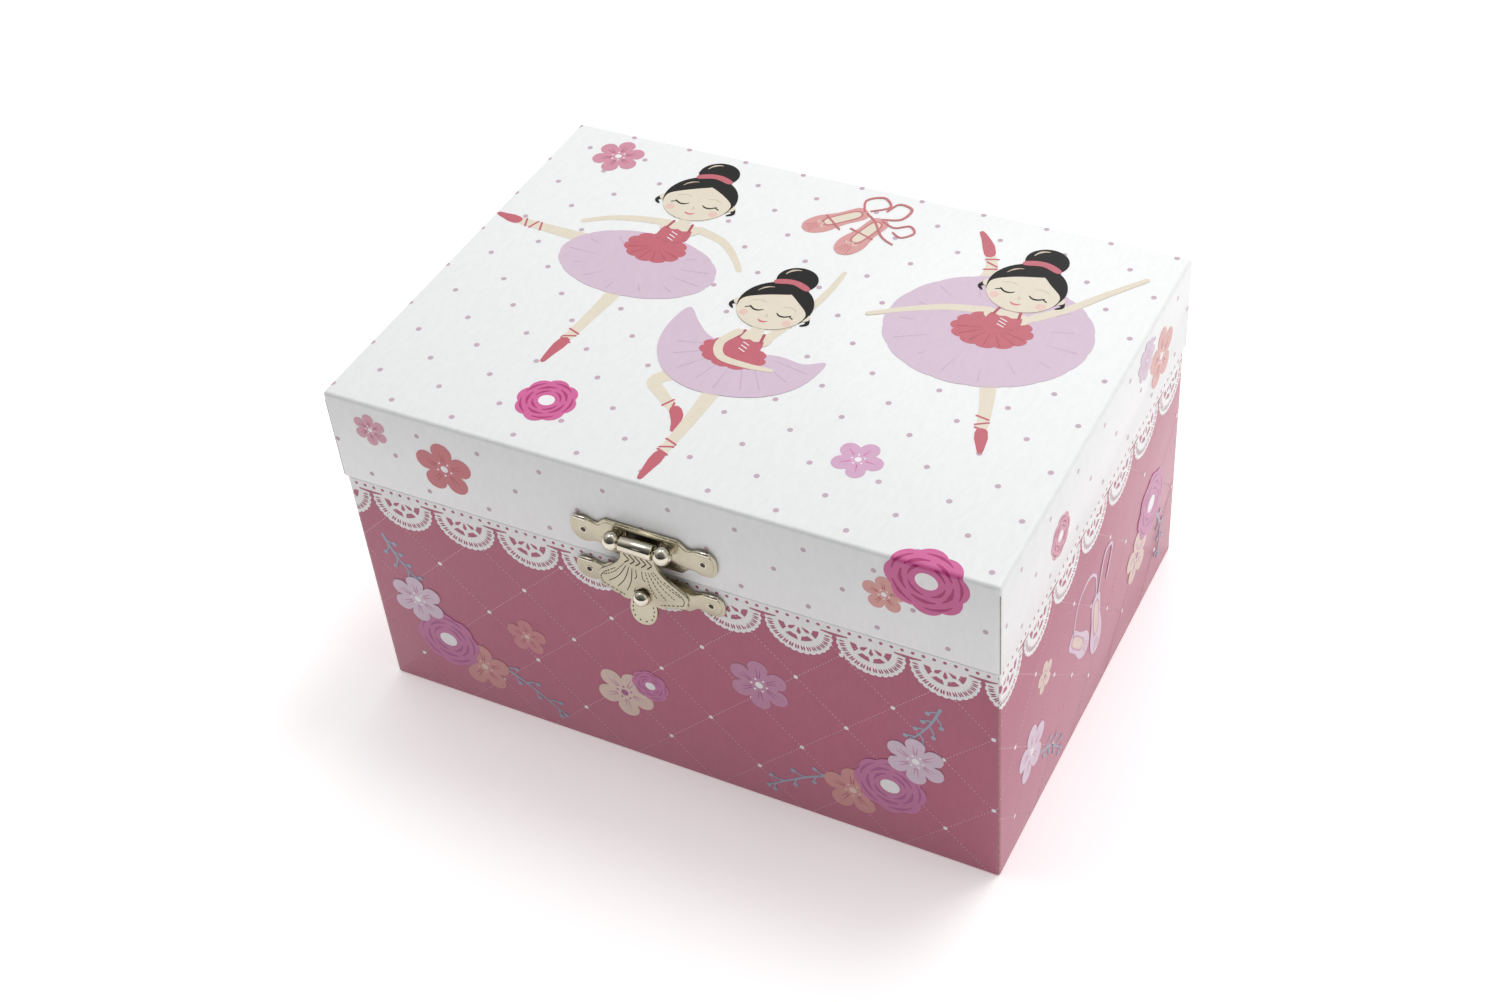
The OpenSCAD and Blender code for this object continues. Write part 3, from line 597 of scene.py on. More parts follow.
def trimLines(faceName, onLid):
    # the artwork ends half way round each rounded edge: (axis, position, side cut away)
    _, _, _, width, length = printedFaces()[faceName]
    inset = 0 if onLid else box["inset"]
    keep = box["corner"] * (1 - math.pi / 4)
    seam = box["height"] - box["seam"]
    lines = [("x", inset + keep, -1), ("x", width - inset - keep, 1)]
    if not onLid:
        return lines + [("y", box["height"] - caseHigh[2] + 0.4, -1), ("y", length - 0.5, 1)]
    return lines + [("y", keep, -1), ("y", length - keep if faceName == "top" else seam - 0.45, 1)]


def bendLines(faceName, onLid):
    # where the flat artwork must be cut so that it can bend: (axis, position)
    _, _, _, width, length = printedFaces()[faceName]
    inset = 0 if onLid else box["inset"]
    r = box["corner"]
    steps = [0, 0.2, 0.4, 0.6]
    lines = [("x", width - inset - r + r * s) for s in steps]
    lines += [("x", inset + r - r * s) for s in steps]
    if onLid:
        lines += [("y", r - r * s) for s in steps]
    if faceName == "top":
        lines += [("y", length - r + r * s) for s in steps]
    return lines


inked = {}


def ink(faceName, body, colour, loops, layer=0):
    # collect closed outlines, drawn in artwork millimetres from the face's top left corner
    inked.setdefault((faceName, body, colour, layer), []).extend(loops)


def printEverything():
    for (faceName, body, colour, layer), loops in inked.items():
        name = "_".join(("print", body, faceName, colour, str(layer)))
        curve = bpy.data.curves.new(name, "CURVE")
        curve.dimensions = "2D"
        curve.fill_mode = "BOTH"
        curve.extrude = 0.5
        for loop in loops:
            spline = curve.splines.new("POLY")
            spline.points.add(len(loop) - 1)
            for point, (x, y) in zip(spline.points, loop):
                point.co = (x * printing["scale"], -y * printing["scale"], 0, 1)
            spline.use_cyclic_u = True
        obj = bpy.data.objects.new(name, curve)
        bpy.context.collection.objects.link(obj)
        pick(obj)
        bpy.ops.object.convert(target="MESH")
        obj = bpy.context.object
        xs = [v.co.x for v in obj.data.vertices]
        ys = [-v.co.y for v in obj.data.vertices]
        onLid = body == "lid"
        bpy.ops.object.mode_set(mode="EDIT")
        bpy.ops.mesh.select_all(action="SELECT")
        bpy.ops.mesh.remove_doubles(threshold=1e-5)
        for axis, place, side in trimLines(faceName, onLid):
            span = xs if axis == "x" else ys
            if (min(span) < place if side < 0 else max(span) > place):
                bpy.ops.mesh.select_all(action="SELECT")
                if axis == "x":
                    bpy.ops.mesh.bisect(plane_co=(place, 0, 0), plane_no=(side, 0, 0),
                                        use_fill=True, clear_outer=True)
                else:
                    bpy.ops.mesh.bisect(plane_co=(0, -place, 0), plane_no=(0, -side, 0),
                                        use_fill=True, clear_outer=True)
        for axis, place in bendLines(faceName, onLid):
            span = xs if axis == "x" else ys
            if min(span) < place - 1e-4 and max(span) > place + 1e-4:
                bpy.ops.mesh.select_all(action="SELECT")
                if axis == "x":
                    bpy.ops.mesh.bisect(plane_co=(place, 0, 0), plane_no=(1, 0, 0))
                else:
                    bpy.ops.mesh.bisect(plane_co=(0, -place, 0), plane_no=(0, 1, 0))
        bpy.ops.mesh.select_all(action="SELECT")
        bpy.ops.mesh.remove_doubles(threshold=1e-5)
        bpy.ops.mesh.normals_make_consistent(inside=False)
        bpy.ops.object.mode_set(mode="OBJECT")
        high = printing["ink"] + layer * printing["layer"]
        for vertex in obj.data.vertices:
            height = high if vertex.co.z > 0 else -printing["sink"]
            vertex.co = surfacePoint(faceName, onLid, vertex.co.x, -vertex.co.y, height)
        finish(obj, name, colour, body, "white_print" if onLid else "pink_print")


def circle(x, y, r, steps=16):
    return [(x + r * math.cos(i * math.tau / steps), y + r * math.sin(i * math.tau / steps))
            for i in range(steps)]


def oval(x, y, rx, ry, turn=0, steps=28):
    c, s = math.cos(math.radians(turn)), math.sin(math.radians(turn))
    loop = []
    for i in range(steps):
        a = i * math.tau / steps
        px, py = rx * math.cos(a), ry * math.sin(a)
        loop.append((x + px * c - py * s, y + px * s + py * c))
    return loop


def flow(points, steps=6, closed=True):
    # a smooth line through given points
    count = len(points)
    line = []
    for i in range(count if closed else count - 1):
        if closed:
            p0, p1, p2, p3 = (points[(i + k) % count] for k in (-1, 0, 1, 2))
        else:
            p0, p1, p2, p3 = (points[min(max(i + k, 0), count - 1)] for k in (-1, 0, 1, 2))
        for j in range(steps):
            t = j / steps
            line.append(tuple(
                0.5 * ((2 * b) + (c - a) * t + (2 * a - 5 * b + 4 * c - d) * t * t
                       + (3 * b - a - 3 * c + d) * t ** 3)
                for a, b, c, d in zip(p0, p1, p2, p3)))
    if not closed:
        line.append(tuple(points[-1]))
    return line


def stroke(points, widths, steps=5, ends=4):
    # a limb, ribbon or line of changing width along a smooth path
    path = flow(points, steps, closed=False)
    if isinstance(widths, (int, float)):
        widths = [widths, widths]
    left, right = [], []
    total = len(path) - 1
    for i, (x, y) in enumerate(path):
        a = path[max(i - 1, 0)]
        b = path[min(i + 1, total)]
        dx, dy = b[0] - a[0], b[1] - a[1]
        length = math.hypot(dx, dy) or 1
        t = i / total * (len(widths) - 1)
        k = min(int(t), len(widths) - 2)
        w = (widths[k] + (widths[k + 1] - widths[k]) * (t - k)) / 2
        left.append((x - dy / length * w, y + dx / length * w))
        right.append((x + dy / length * w, y - dx / length * w))

    def cap(start, middle, count):
        a0 = math.atan2(start[1] - middle[1], start[0] - middle[0])
        r = math.hypot(start[0] - middle[0], start[1] - middle[1])
        return [(middle[0] + r * math.cos(a0 - math.pi * i / count),
                 middle[1] + r * math.sin(a0 - math.pi * i / count)) for i in range(1, count)]

    return left + cap(left[-1], path[-1], ends) + right[::-1] + cap(right[0], path[0], ends)


def petals(x, y, r, count, turn=0, depth=0.3):
    # a flower of round petals as one outline; depth is how deep the notches between them are
    steps = count * 12
    half = math.pi / count
    notch = r * (1 - depth)
    away = (r * r - notch * notch) / (2 * (r - notch * math.cos(half)))
    petal = r - away
    loop = []
    for i in range(steps):
        a = i * math.tau / steps
        t = (a - math.radians(turn) + half) % (2 * half) - half
        reach = away * math.cos(t) + math.sqrt(max(0, petal ** 2 - (away * math.sin(t)) ** 2))
        loop.append((x + reach * math.cos(a), y + reach * math.sin(a)))
    return loop


def arcLine(x, y, r, start, stop, width):
    count = max(4, int(abs(stop - start) / 12))
    points = [(x + r * math.cos(math.radians(start + (stop - start) * i / count)),
               y + r * math.sin(math.radians(start + (stop - start) * i / count)))
              for i in range(count + 1)]
    return stroke(points, [width * 0.3, width, width * 0.3], 2, 2)


def dots(face, body, rows, width, pitch=15.6, size=0.6):
    loops = []
    for y, start in rows:
        x = start - pitch
        while x < width + size:
            loops.append(circle(x, y, size, 10))
            x += pitch
    ink(face, body, "dots", loops)


def rose(face, body, x, y, r, colour="magenta", deep="magentaDeep", layer=2, turn=0):
    ink(face, body, colour, [petals(x, y, r, 8, turn, 0.1)], layer)
    arcs = []
    rings = ((0.82, 5, 50, 0.085), (0.62, 5, 56, 0.11), (0.44, 4, 66, 0.09))
    for ring, count, sweep, wide in rings:
        for i in range(count):
            a = turn + i * 360 / count + ring * 230
            arcs.append(arcLine(x, y, r * ring, a, a + sweep, r * wide))
    ink(face, body, deep, arcs, layer + 1)
    ink(face, body, "white", [oval(x, y, r * 0.27, r * 0.24, turn)], layer + 1)


def bloom(face, body, x, y, r, count=5, colour="coral", deep="coralDeep", heart="white",
          layer=2, turn=-90, lines=2):
    ink(face, body, colour, [petals(x, y, r, count, turn, 0.43)], layer)
    veins = []
    for i in range(count):
        a = math.radians(turn + i * 360 / count)
        for k in range(lines):
            lean = a + (k - (lines - 1) / 2) * 0.22
            veins.append(stroke([(x + r * 0.30 * math.cos(lean), y + r * 0.30 * math.sin(lean)),
                                 (x + r * (0.68 - 0.06 * k) * math.cos(lean),
                                  y + r * (0.68 - 0.06 * k) * math.sin(lean))],
                                [r * 0.05, r * 0.015], 2, 2))
    ink(face, body, deep, veins, layer + 1)
    ink(face, body, heart, [circle(x, y, r * 0.13, 12)], layer + 1)
    beads = [circle(x + r * 0.25 * math.cos(math.radians(turn + 36 + i * 360 / count)),
                    y + r * 0.25 * math.sin(math.radians(turn + 36 + i * 360 / count)),
                    r * 0.04, 8) for i in range(count)]
    ink(face, body, heart, beads, layer + 1)


def daisy(face, body, x, y, r, colour="palePetal", heart="purpleDeep", layer=2, turn=0, count=8):
    ink(face, body, colour, [petals(x, y, r, count, turn, 0.4)], layer)
    threads = []
    for i in range(count * 2):
        a = math.radians(turn + i * 180 / count)
        reach = 0.52 if i % 2 else 0.66
        threads.append(stroke([(x + r * 0.24 * math.cos(a), y + r * 0.24 * math.sin(a)),
                               (x + r * reach * math.cos(a), y + r * reach * math.sin(a))],
                              r * 0.03, 2, 2))
    ink(face, body, heart, threads, layer + 1)
    ink(face, body, heart, [petals(x, y, r * 0.2, 6, turn, 0.2)], layer + 1)
    ink(face, body, "white", [circle(x, y, r * 0.09, 10)], layer + 2)


def twig(face, body, points, side, layer=1, size=1.0):
    # a curved stem with opposite shoots, each ending in a small berry
    ink(face, body, "twig", [stroke(points, [0.7 * size, 0.5 * size, 0.3 * size])], layer)
    path = flow(points, 8, closed=False)
    shoots, berries = [], []
    count = 0
    for i in range(2, len(path) - 1, 2):
        x, y = path[i]
        dx, dy = path[i + 1][0] - path[i - 1][0], path[i + 1][1] - path[i - 1][1]
        way = 1 if count % 2 else -1
        a = math.atan2(dy, dx) + way * 0.78 * side
        far = (2.5 + 0.6 * math.sin(i * 1.7)) * size
        end = (x + far * math.cos(a), y + far * math.sin(a))
        knee = (x + far * 0.55 * math.cos(a - 0.2 * way), y + far * 0.55 * math.sin(a - 0.2 * way))
        shoots.append(stroke([(x, y), knee, end], [0.42 * size, 0.26 * size], 3, 2))
        berries.append(circle(end[0], end[1], 0.56 * size, 8))
        count += 1
    berries.append(circle(path[-1][0], path[-1][1], 0.56 * size, 8))
    for k in (0, 1):
        ink(face, body, "twig", shoots[k::2], layer + 1 + k)
        ink(face, body, "twig", berries[k::2], layer + 3 + k)


def shoe(face, body, x, y, turn, length, width, colour, deep, inside, layer=2):
    # a ballet shoe seen from above: sole outline, opening, pleated toe and drawstring
    c, s = math.cos(math.radians(turn)), math.sin(math.radians(turn))

    def at(u, v):
        return x + u * length * c - v * width * s, y + u * length * s + v * width * c

    sole = flow([at(u, v) for u, v in ((-0.5, 0), (-0.42, -0.34), (-0.1, -0.36), (0.2, -0.48),
                                       (0.42, -0.34), (0.5, 0), (0.42, 0.34), (0.2, 0.48),
                                       (-0.1, 0.36), (-0.42, 0.34))], 5)
    ink(face, body, colour, [sole], layer)
    hole = flow([at(u, v) for u, v in ((-0.42, 0), (-0.34, -0.22), (-0.05, -0.24), (0.14, -0.2),
                                       (0.2, 0), (0.14, 0.2), (-0.05, 0.24), (-0.34, 0.22))], 4)
    ink(face, body, deep, [hole], layer + 1)
    lining = flow([at(u, v) for u, v in ((-0.39, 0), (-0.32, -0.16), (-0.05, -0.18),
                                         (0.12, -0.14), (0.16, 0), (0.12, 0.14),
                                         (-0.05, 0.18), (-0.32, 0.16))], 4)
    ink(face, body, inside, [lining], layer + 2)
    pleats = [stroke([at(0.27, v * 0.5), at(0.43, v)], 0.18, 2, 2) for v in (-0.2, -0.07, 0.07, 0.2)]
    ink(face, body, deep, pleats, layer + 1)
    bow = [stroke([at(0.17, 0), at(0.24, side * 0.13), at(0.2, side * 0.22)], 0.22, 3, 2)
           for side in (-1, 1)]
    ink(face, body, inside, bow, layer + 2)


def ribbon(face, body, points, colour, layer=2, width=0.8):
    ink(face, body, colour, [stroke(points, [width * 0.7, width, width * 0.7], 7)], layer)


def scallops(x, y, rx, ry, count, depth, turn=0, start=0):
    loop = []
    c, s = math.cos(math.radians(turn)), math.sin(math.radians(turn))
    for i in range(count * 8):
        a = i * math.tau / (count * 8)
        wave = 1 - depth + depth * abs(math.cos(count * a / 2 + start)) ** 0.6
        px, py = rx * wave * math.cos(a), ry * wave * math.sin(a)
        loop.append((x + px * c - py * s, y + px * s + py * c))
    return loop


def printedHead(x, y, r, layer, tilt=0, part=0.12):
    c, s = math.cos(math.radians(tilt)), math.sin(math.radians(tilt))

    def at(u, v):
        return x + r * (u * c - v * s), y + r * (u * s + v * c)

    ink("top", "lid", "black", [oval(*at(0.02, -1.22), r * 0.56, r * 0.5, tilt, 30)], layer)
    curls = [stroke([at(side * 0.98, 0.1), at(side * 1.1, 0.32), at(side * 0.98, 0.45)],
                    [0.16 * r, 0.1 * r, 0.04 * r], 4, 3) for side in (-1, 1)]
    ink("top", "lid", "black", curls, layer)
    ink("top", "lid", "skin", [circle(*at(side * 0.95, 0.14), r * 0.14, 14) for side in (-1, 1)],
        layer + 1)
    ink("top", "lid", "black", [oval(*at(0, -0.05), r, r * 0.97, tilt, 44)], layer + 2)
    ribbonLoop = [at(-0.5, -1.0), at(-0.25, -1.13), at(0, -1.17), at(0.25, -1.13),
                  at(0.5, -1.0), at(0.44, -0.86), at(0, -0.98), at(-0.44, -0.86)]
    ink("top", "lid", "red", [flow(ribbonLoop, 4)], layer + 3)
    shine = [arcLine(*at(-0.05, -1.28), r * 0.32, 190, 270, r * 0.07),
             arcLine(*at(-0.3, -0.3), r * 0.42, 200, 262, r * 0.05)]
    ink("top", "lid", "skinLine", shine, layer + 3)
    cheek = flow([at(part, -0.58), at(0.5, -0.36), at(0.86, -0.06), at(0.93, 0.2), at(0.82, 0.52),
                  at(0.5, 0.82), at(0, 0.96), at(-0.5, 0.82), at(-0.82, 0.52), at(-0.93, 0.2),
                  at(-0.86, -0.06), at(-0.42, -0.34), at(part - 0.08, -0.56)], 5)
    ink("top", "lid", "skin", [cheek], layer + 3)
    lids = [stroke([at(side * 0.58, 0.22), at(side * 0.44, 0.31), at(side * 0.3, 0.31),
                    at(side * 0.2, 0.24)], [0.045 * r, 0.06 * r, 0.03 * r], 4, 3)
            for side in (-1, 1)]
    lashes = [stroke([at(side * 0.57, 0.25), at(side * 0.68, 0.31)], 0.035 * r, 2, 2)
              for side in (-1, 1)]
    brows = [stroke([at(side * 0.62, -0.02), at(side * 0.42, -0.1), at(side * 0.24, -0.05)],
                    0.025 * r, 3, 2) for side in (-1, 1)]
    ink("top", "lid", "black", lids, layer + 4)
    ink("top", "lid", "black", lashes, layer + 5)
    ink("top", "lid", "skinLine", brows, layer + 4)
    ink("top", "lid", "skinLine", [stroke([at(-0.03, 0.36), at(0.04, 0.44), at(-0.02, 0.47)],
                                          0.03 * r, 3, 2)], layer + 4)
    ink("top", "lid", "lips", [flow([at(-0.15, 0.62), at(0, 0.66), at(0.15, 0.62),
                                     at(0.08, 0.7), at(0, 0.72), at(-0.08, 0.7)], 3)], layer + 4)
    ink("top", "lid", "palePink", [circle(*at(side * 0.62, 0.52), r * 0.12, 14)
                                   for side in (-1, 1)], layer + 4)


def pleatLines(x, y, rx, ry, turn, count, layer, inner=0.42, outer=0.95, start=0, stop=360):
    c, s = math.cos(math.radians(turn)), math.sin(math.radians(turn))
    lines = []
    for i in range(count):
        a = math.radians(start + (stop - start) * (i + 0.5) / count)
        near = inner + 0.12 * (i % 2)
        ends = []
        for reach in (near, outer - 0.05 * (i % 3)):
            px, py = rx * reach * math.cos(a), ry * reach * math.sin(a)
            ends.append((x + px * c - py * s, y + px * s + py * c))
        lines.append(stroke(ends, [0.12, 0.3], 2, 2))
    ink("top", "lid", "pleat", lines, layer)


def printedLeg(points, widths, shoeLine, ribbonsAt, layer):
    ink("top", "lid", "skin", [stroke(points, widths)], layer)
    ink("top", "lid", "red", [stroke(shoeLine, [2.7, 2.9, 2.0, 1.2])], layer + 1)
    crossings = []
    for (x, y), turn in ribbonsAt:
        c, s = math.cos(math.radians(turn)), math.sin(math.radians(turn))
        crossings.append(stroke([(x - 1.5 * c, y - 1.5 * s), (x + 1.5 * c, y + 1.5 * s)], 0.5, 2, 2))
    ink("top", "lid", "red", crossings, layer + 2)


def printedBodice(x, y, wide, tall, layer, turn=0):
    c, s = math.cos(math.radians(turn)), math.sin(math.radians(turn))

    def at(u, v):
        return x + u * wide * c - v * tall * s, y + u * wide * s + v * tall * c

    ink("top", "lid", "red", [flow([at(-0.5, -0.5), at(-0.2, -0.38), at(0, -0.48), at(0.2, -0.38),
                                    at(0.5, -0.5), at(0.46, 0.5), at(-0.46, 0.5)], 3)], layer)
    straps = [stroke([at(side * 0.4, -0.45), at(side * 0.34, -1.05)], 0.7, 2, 2)
              for side in (-1, 1)]
    ink("top", "lid", "redDeep", straps, layer + 1)
    lacing = [stroke([at(-0.12, v), at(0.12, v + 0.16)], 0.25, 2, 2) for v in (-0.2, 0.05, 0.3)]
    ink("top", "lid", "white", lacing, layer + 1)


def leftDancer():
    ink("top", "lid", "skin", [stroke([(50, 30.4), (57, 32.5), (62, 36.5), (66, 41.2)],
                                      [2.6, 2.2, 1.8, 1.3]),
                               stroke([(41.5, 30.4), (34, 31.5), (27.5, 33.6), (22, 36.9)],
                                      [2.6, 2.2, 1.8, 1.3])], 1)
    printedLeg([(26, 43), (16, 42.6), (6, 42.2)], [3.8, 2.9, 2.1],
               [(6.8, 42.3), (5.2, 42.1), (3.2, 41.8), (1.3, 41.5)],
               [((9.4, 42.4), 70), ((11.6, 42.5), 110), ((13.6, 42.6), 70)], 1)
    printedLeg([(43.2, 56), (42.4, 67), (41.1, 79)], [4.0, 3.0, 2.2],
               [(41.2, 78.6), (40.9, 80.6), (40.5, 83.6), (40.3, 86.4)],
               [((41.6, 74.8), 20), ((41.4, 76.6), -20), ((41.3, 78.2), 20)], 1)
    ink("top", "lid", "lilac", [scallops(42.5, 47.5, 19.9, 12.0, 16, 0.012)], 4)
    pleatLines(42.5, 47.5, 19.9, 12.0, 0, 13, 5, 0.55, 0.9)
    ink("top", "lid", "skin", [stroke([(45.1, 27), (45.1, 32)], [3.0, 3.2], 2)], 6)
    ink("top", "lid", "skin", [flow([(40.6, 30.2), (45.1, 29.4), (50.4, 30.2), (49, 33.4),
                                     (41.4, 33.4)], 4)], 7)
    ink("top", "lid", "red", [scallops(43.6, 40.4, 7.9, 5.6, 11, 0.1)], 6)
    pleatSet = [stroke([(43.6 + 2.0 * math.cos(a), 40.0 + 1.4 * math.sin(a)),
                        (43.6 + 6.7 * math.cos(a), 40.4 + 4.7 * math.sin(a))], [0.12, 0.35], 2, 2)
                for a in [math.radians(20 + 28 * k) for k in range(6)]]
    ink("top", "lid", "redDeep", pleatSet, 7)
    printedBodice(45.1, 34.3, 7.2, 4.8, 8)
    printedHead(44.2, 19.4, 9.1, 9, -3)


def middleDancer():
    ink("top", "lid", "skin", [stroke([(83.4, 61), (87, 50), (88.6, 41), (89, 33.4)],
                                      [2.6, 2.1, 1.7, 1.2])], 1)
    printedLeg([(70, 79.5), (66.9, 83.4), (71, 87.2), (76.2, 90.8)], [4.0, 3.4, 2.8, 2.2],
               [(75.8, 90.4), (77, 92), (77.9, 94.2), (78.4, 96.4)],
               [((73.2, 88.8), 120), ((74.8, 89.9), 80)], 1)
    printedLeg([(80.4, 80), (80.3, 92), (79.6, 104.8)], [4.0, 3.0, 2.2],
               [(79.6, 104.4), (79.5, 106.6), (79.3, 109.6), (79.2, 112.2)],
               [((79.9, 99.9), 20), ((79.8, 101.7), -20), ((79.7, 103.4), 20)], 4)
    bowl = flow([(61.8, 57.4), (60.2, 64.4), (61.6, 72.4), (66.8, 79.4), (74.4, 82.8), (82.8, 82.6),
                 (91.4, 79.6), (97.4, 73.4), (99.2, 64.6), (94.6, 66.6), (88.6, 66.0), (80, 67.2),
                 (71.2, 65.2), (66.4, 61.6)], 5)
    ink("top", "lid", "lilac", [bowl], 7)
    lines = []
    for i in range(9):
        a = math.radians(14 + 152 * i / 8)
        lines.append(stroke([(80 + 8.4 * math.cos(a), 66.2 + 6.6 * math.sin(a)),
                             (80 + (17.4 - i % 3) * math.cos(a), 65.6 + (15.4 - i % 2) * math.sin(a))],
                            [0.12, 0.3], 2, 2))
    ink("top", "lid", "pleat", lines, 8)
    ink("top", "lid", "skin", [stroke([(79.8, 57.6), (79.8, 63)], [3.0, 3.2], 2)], 8)
    ink("top", "lid", "skin", [flow([(75.4, 61), (79.8, 60.2), (84.4, 61), (83.4, 64.6),
                                     (76.2, 64.6)], 4)], 9)
    ink("top", "lid", "red", [scallops(78.6, 68.9, 8.2, 5.0, 11, 0.1, 4)], 9)
    printedBodice(79.8, 65.3, 6.9, 4.6, 10)
    ink("top", "lid", "skin", [stroke([(76.2, 61.6), (74.2, 66.4), (76.6, 70.8), (83, 71.6),
                                       (89, 71.2)], [2.3, 2.2, 2.0, 1.7, 1.2])], 12)
    printedHead(79.6, 50.4, 8.8, 11, 2, 0.2)


def rightDancer():
    printedLeg([(119.4, 26), (119.4, 20), (116.6, 14.2)], [3.8, 3.0, 2.1],
               [(116.9, 14.8), (115.6, 12.4), (113.8, 9.8), (112.1, 7.8)],
               [((118.2, 16.6), -20), ((118.9, 18.4), 20), ((119.2, 20.2), -20)], 1)
    printedLeg([(133.6, 56), (136.6, 65), (139, 73.8)], [4.0, 3.0, 2.2],
               [(138.8, 73.0), (139.5, 74.8), (140.3, 77), (140.9, 78.8)],
               [((137.3, 68.6), 10), ((137.9, 70.4), -30), ((138.4, 72.2), 10)], 1)
    ink("top", "lid", "lilac", [scallops(127.1, 40.9, 23.5, 19.4, 18, 0.012, -8)], 4)
    pleatLines(127.1, 40.9, 23.5, 19.4, -8, 15, 5, 0.58, 0.9)
    ink("top", "lid", "skin", [stroke([(124.6, 34.4), (116, 36.4), (108, 40.2), (100.2, 45)],
                                      [2.6, 2.2, 1.8, 1.3]),
                               stroke([(135, 33.4), (141, 27.4), (147, 19.4), (153.2, 11.6)],
                                      [2.6, 2.2, 1.8, 1.3])], 6)
    ink("top", "lid", "red", [scallops(127.9, 40.6, 9.4, 6.4, 12, 0.1, -6)], 7)
    pleatSet = [stroke([(127.9 + 2.4 * math.cos(a), 40.0 + 1.6 * math.sin(a)),
                        (127.9 + 8.0 * math.cos(a), 40.6 + 5.4 * math.sin(a))], [0.12, 0.35], 2, 2)
                for a in [math.radians(10 + 26 * k) for k in range(7)]]
    ink("top", "lid", "redDeep", pleatSet, 8)
    ink("top", "lid", "skin", [flow([(124, 34), (129.2, 33.0), (134.8, 34), (133, 37),
                                     (125.4, 37)], 4)], 8)
    printedBodice(129, 36.9, 7.4, 4.2, 9)
    printedHead(129.4, 24.2, 9.1, 11, 3, 0.25)


def printLidTop():
    rows = [(110.5 - 15.6 * n, 0.6) for n in range(8)] + [(102.7 - 15.6 * n, 7.9) for n in range(7)]
    dots("top", "lid", rows, 160, size=0.66)
    leftDancer()
    middleDancer()
    rightDancer()
    bloom("top", "lid", 16.5, 10, 6.5, 6, "softPink", "petalVein", "white")
    rose("top", "lid", 48.2, 98, 7.0)
    bloom("top", "lid", 118.7, 90.3, 5.7, 5, "mauve", "magenta", "white", turn=-70, lines=1)
    shoe("top", "lid", 78.2, 15.4, 136, 16.5, 7.0, "salmon", "salmonDeep", "skin")
    shoe("top", "lid", 86.6, 19.2, 106, 16.5, 7.2, "salmon", "salmonDeep", "skin", 5)
    ribbon("top", "lid", [(83.2, 9.8), (81.8, 5.6), (85.4, 3.2), (88.2, 6.2), (84.6, 9.2)],
           "salmonDeep", 8, 0.7)
    ribbon("top", "lid", [(88.4, 11.4), (92.6, 9.8), (93.4, 5.4), (89.8, 4.4), (88.2, 8.0)],
           "salmonDeep", 9, 0.7)
    ribbon("top", "lid", [(88.8, 12), (92.4, 13.4), (95.6, 11.6), (97.6, 13.8), (95.4, 16.4),
                          (92.8, 15.2)], "salmonDeep", 10, 0.6)
    ribbon("top", "lid", [(84.2, 10.4), (87, 12.6), (91, 17.6), (94.6, 19.6)], "salmonDeep", 11, 0.6)
    crossing = [stroke([(75.6, 14.4), (80.6, 18.4)], 0.5, 2, 2),
                stroke([(83, 17.2), (89.4, 19.4)], 0.5, 2, 2)]
    ink("top", "lid", "salmonDeep", crossing, 9)


def printLidFront(face):
    rows = [(5.1, 8.45), (13.1, 1.2), (21.2, 8.6)]
    dots(face, "lid", rows, 160, 15.55)
    bloom(face, "lid", 11.3, 7.4, 4.4, 6, "dustyPink", "petalVein", "white")
    bloom(face, "lid", 29.7, 12.8, 7.3, 5, "coral", "coralDeep", "white")
    bloom(face, "lid", 134.9, 11, 4.9, 5, "peach", "coralDeep", "white")
    rose(face, "lid", 144.3, 3.8 if face == "front" else 12.2, 9.2, layer=5)
    if face == "front":
        rose("top", "lid", 144.3, 114.13 + 3.8, 9.2)


def printLidSide(face):
    dots(face, "lid", [(4.2, 10.6), (12.8, 2.9), (20.6, 11.1)], 114, 15.6)
    rose(face, "lid", 32.2, 14.1, 5.3, "softPink", "magentaDeep")
    bloom(face, "lid", 94.3, 13.2, 7.6, 5, "peach", "coralDeep", "white")
    daisy(face, "lid", 83.7, 6.6, 5.2, "palePetal", "mauve", 5)


def quilting(face, width, xs, y0, pitch=22.75):
    # two crossing sets of fine stitched lines with a white bead at each crossing
    marks, beads = [], []
    half = pitch / 2
    top, bottom = 24.4, 90
    n = -8
    while n * pitch < width + 120:
        for lean in (-1, 1):
            y = top
            while y < bottom:
                x = xs + n * pitch + lean * (y - y0)
                if 0 < x < width:
                    d = 0.23
                    marks.append([(x - d * lean, y - d), (x + 0.1, y - 0.1 * lean),
                                  (x + d * lean, y + d), (x - 0.1, y + 0.1 * lean)])
                y += 0.72
        n += 1
    row = -3
    while y0 + row * half < bottom:
        x = xs + (half if row % 2 else 0) - 8 * pitch
        while x < width:
            if x > 0:
                beads.append(circle(x, y0 + row * half, 0.55, 10))
            x += pitch
        row += 1
    ink(face, "case", "quilt", marks)
    ink(face, "case", "white", beads, 1)


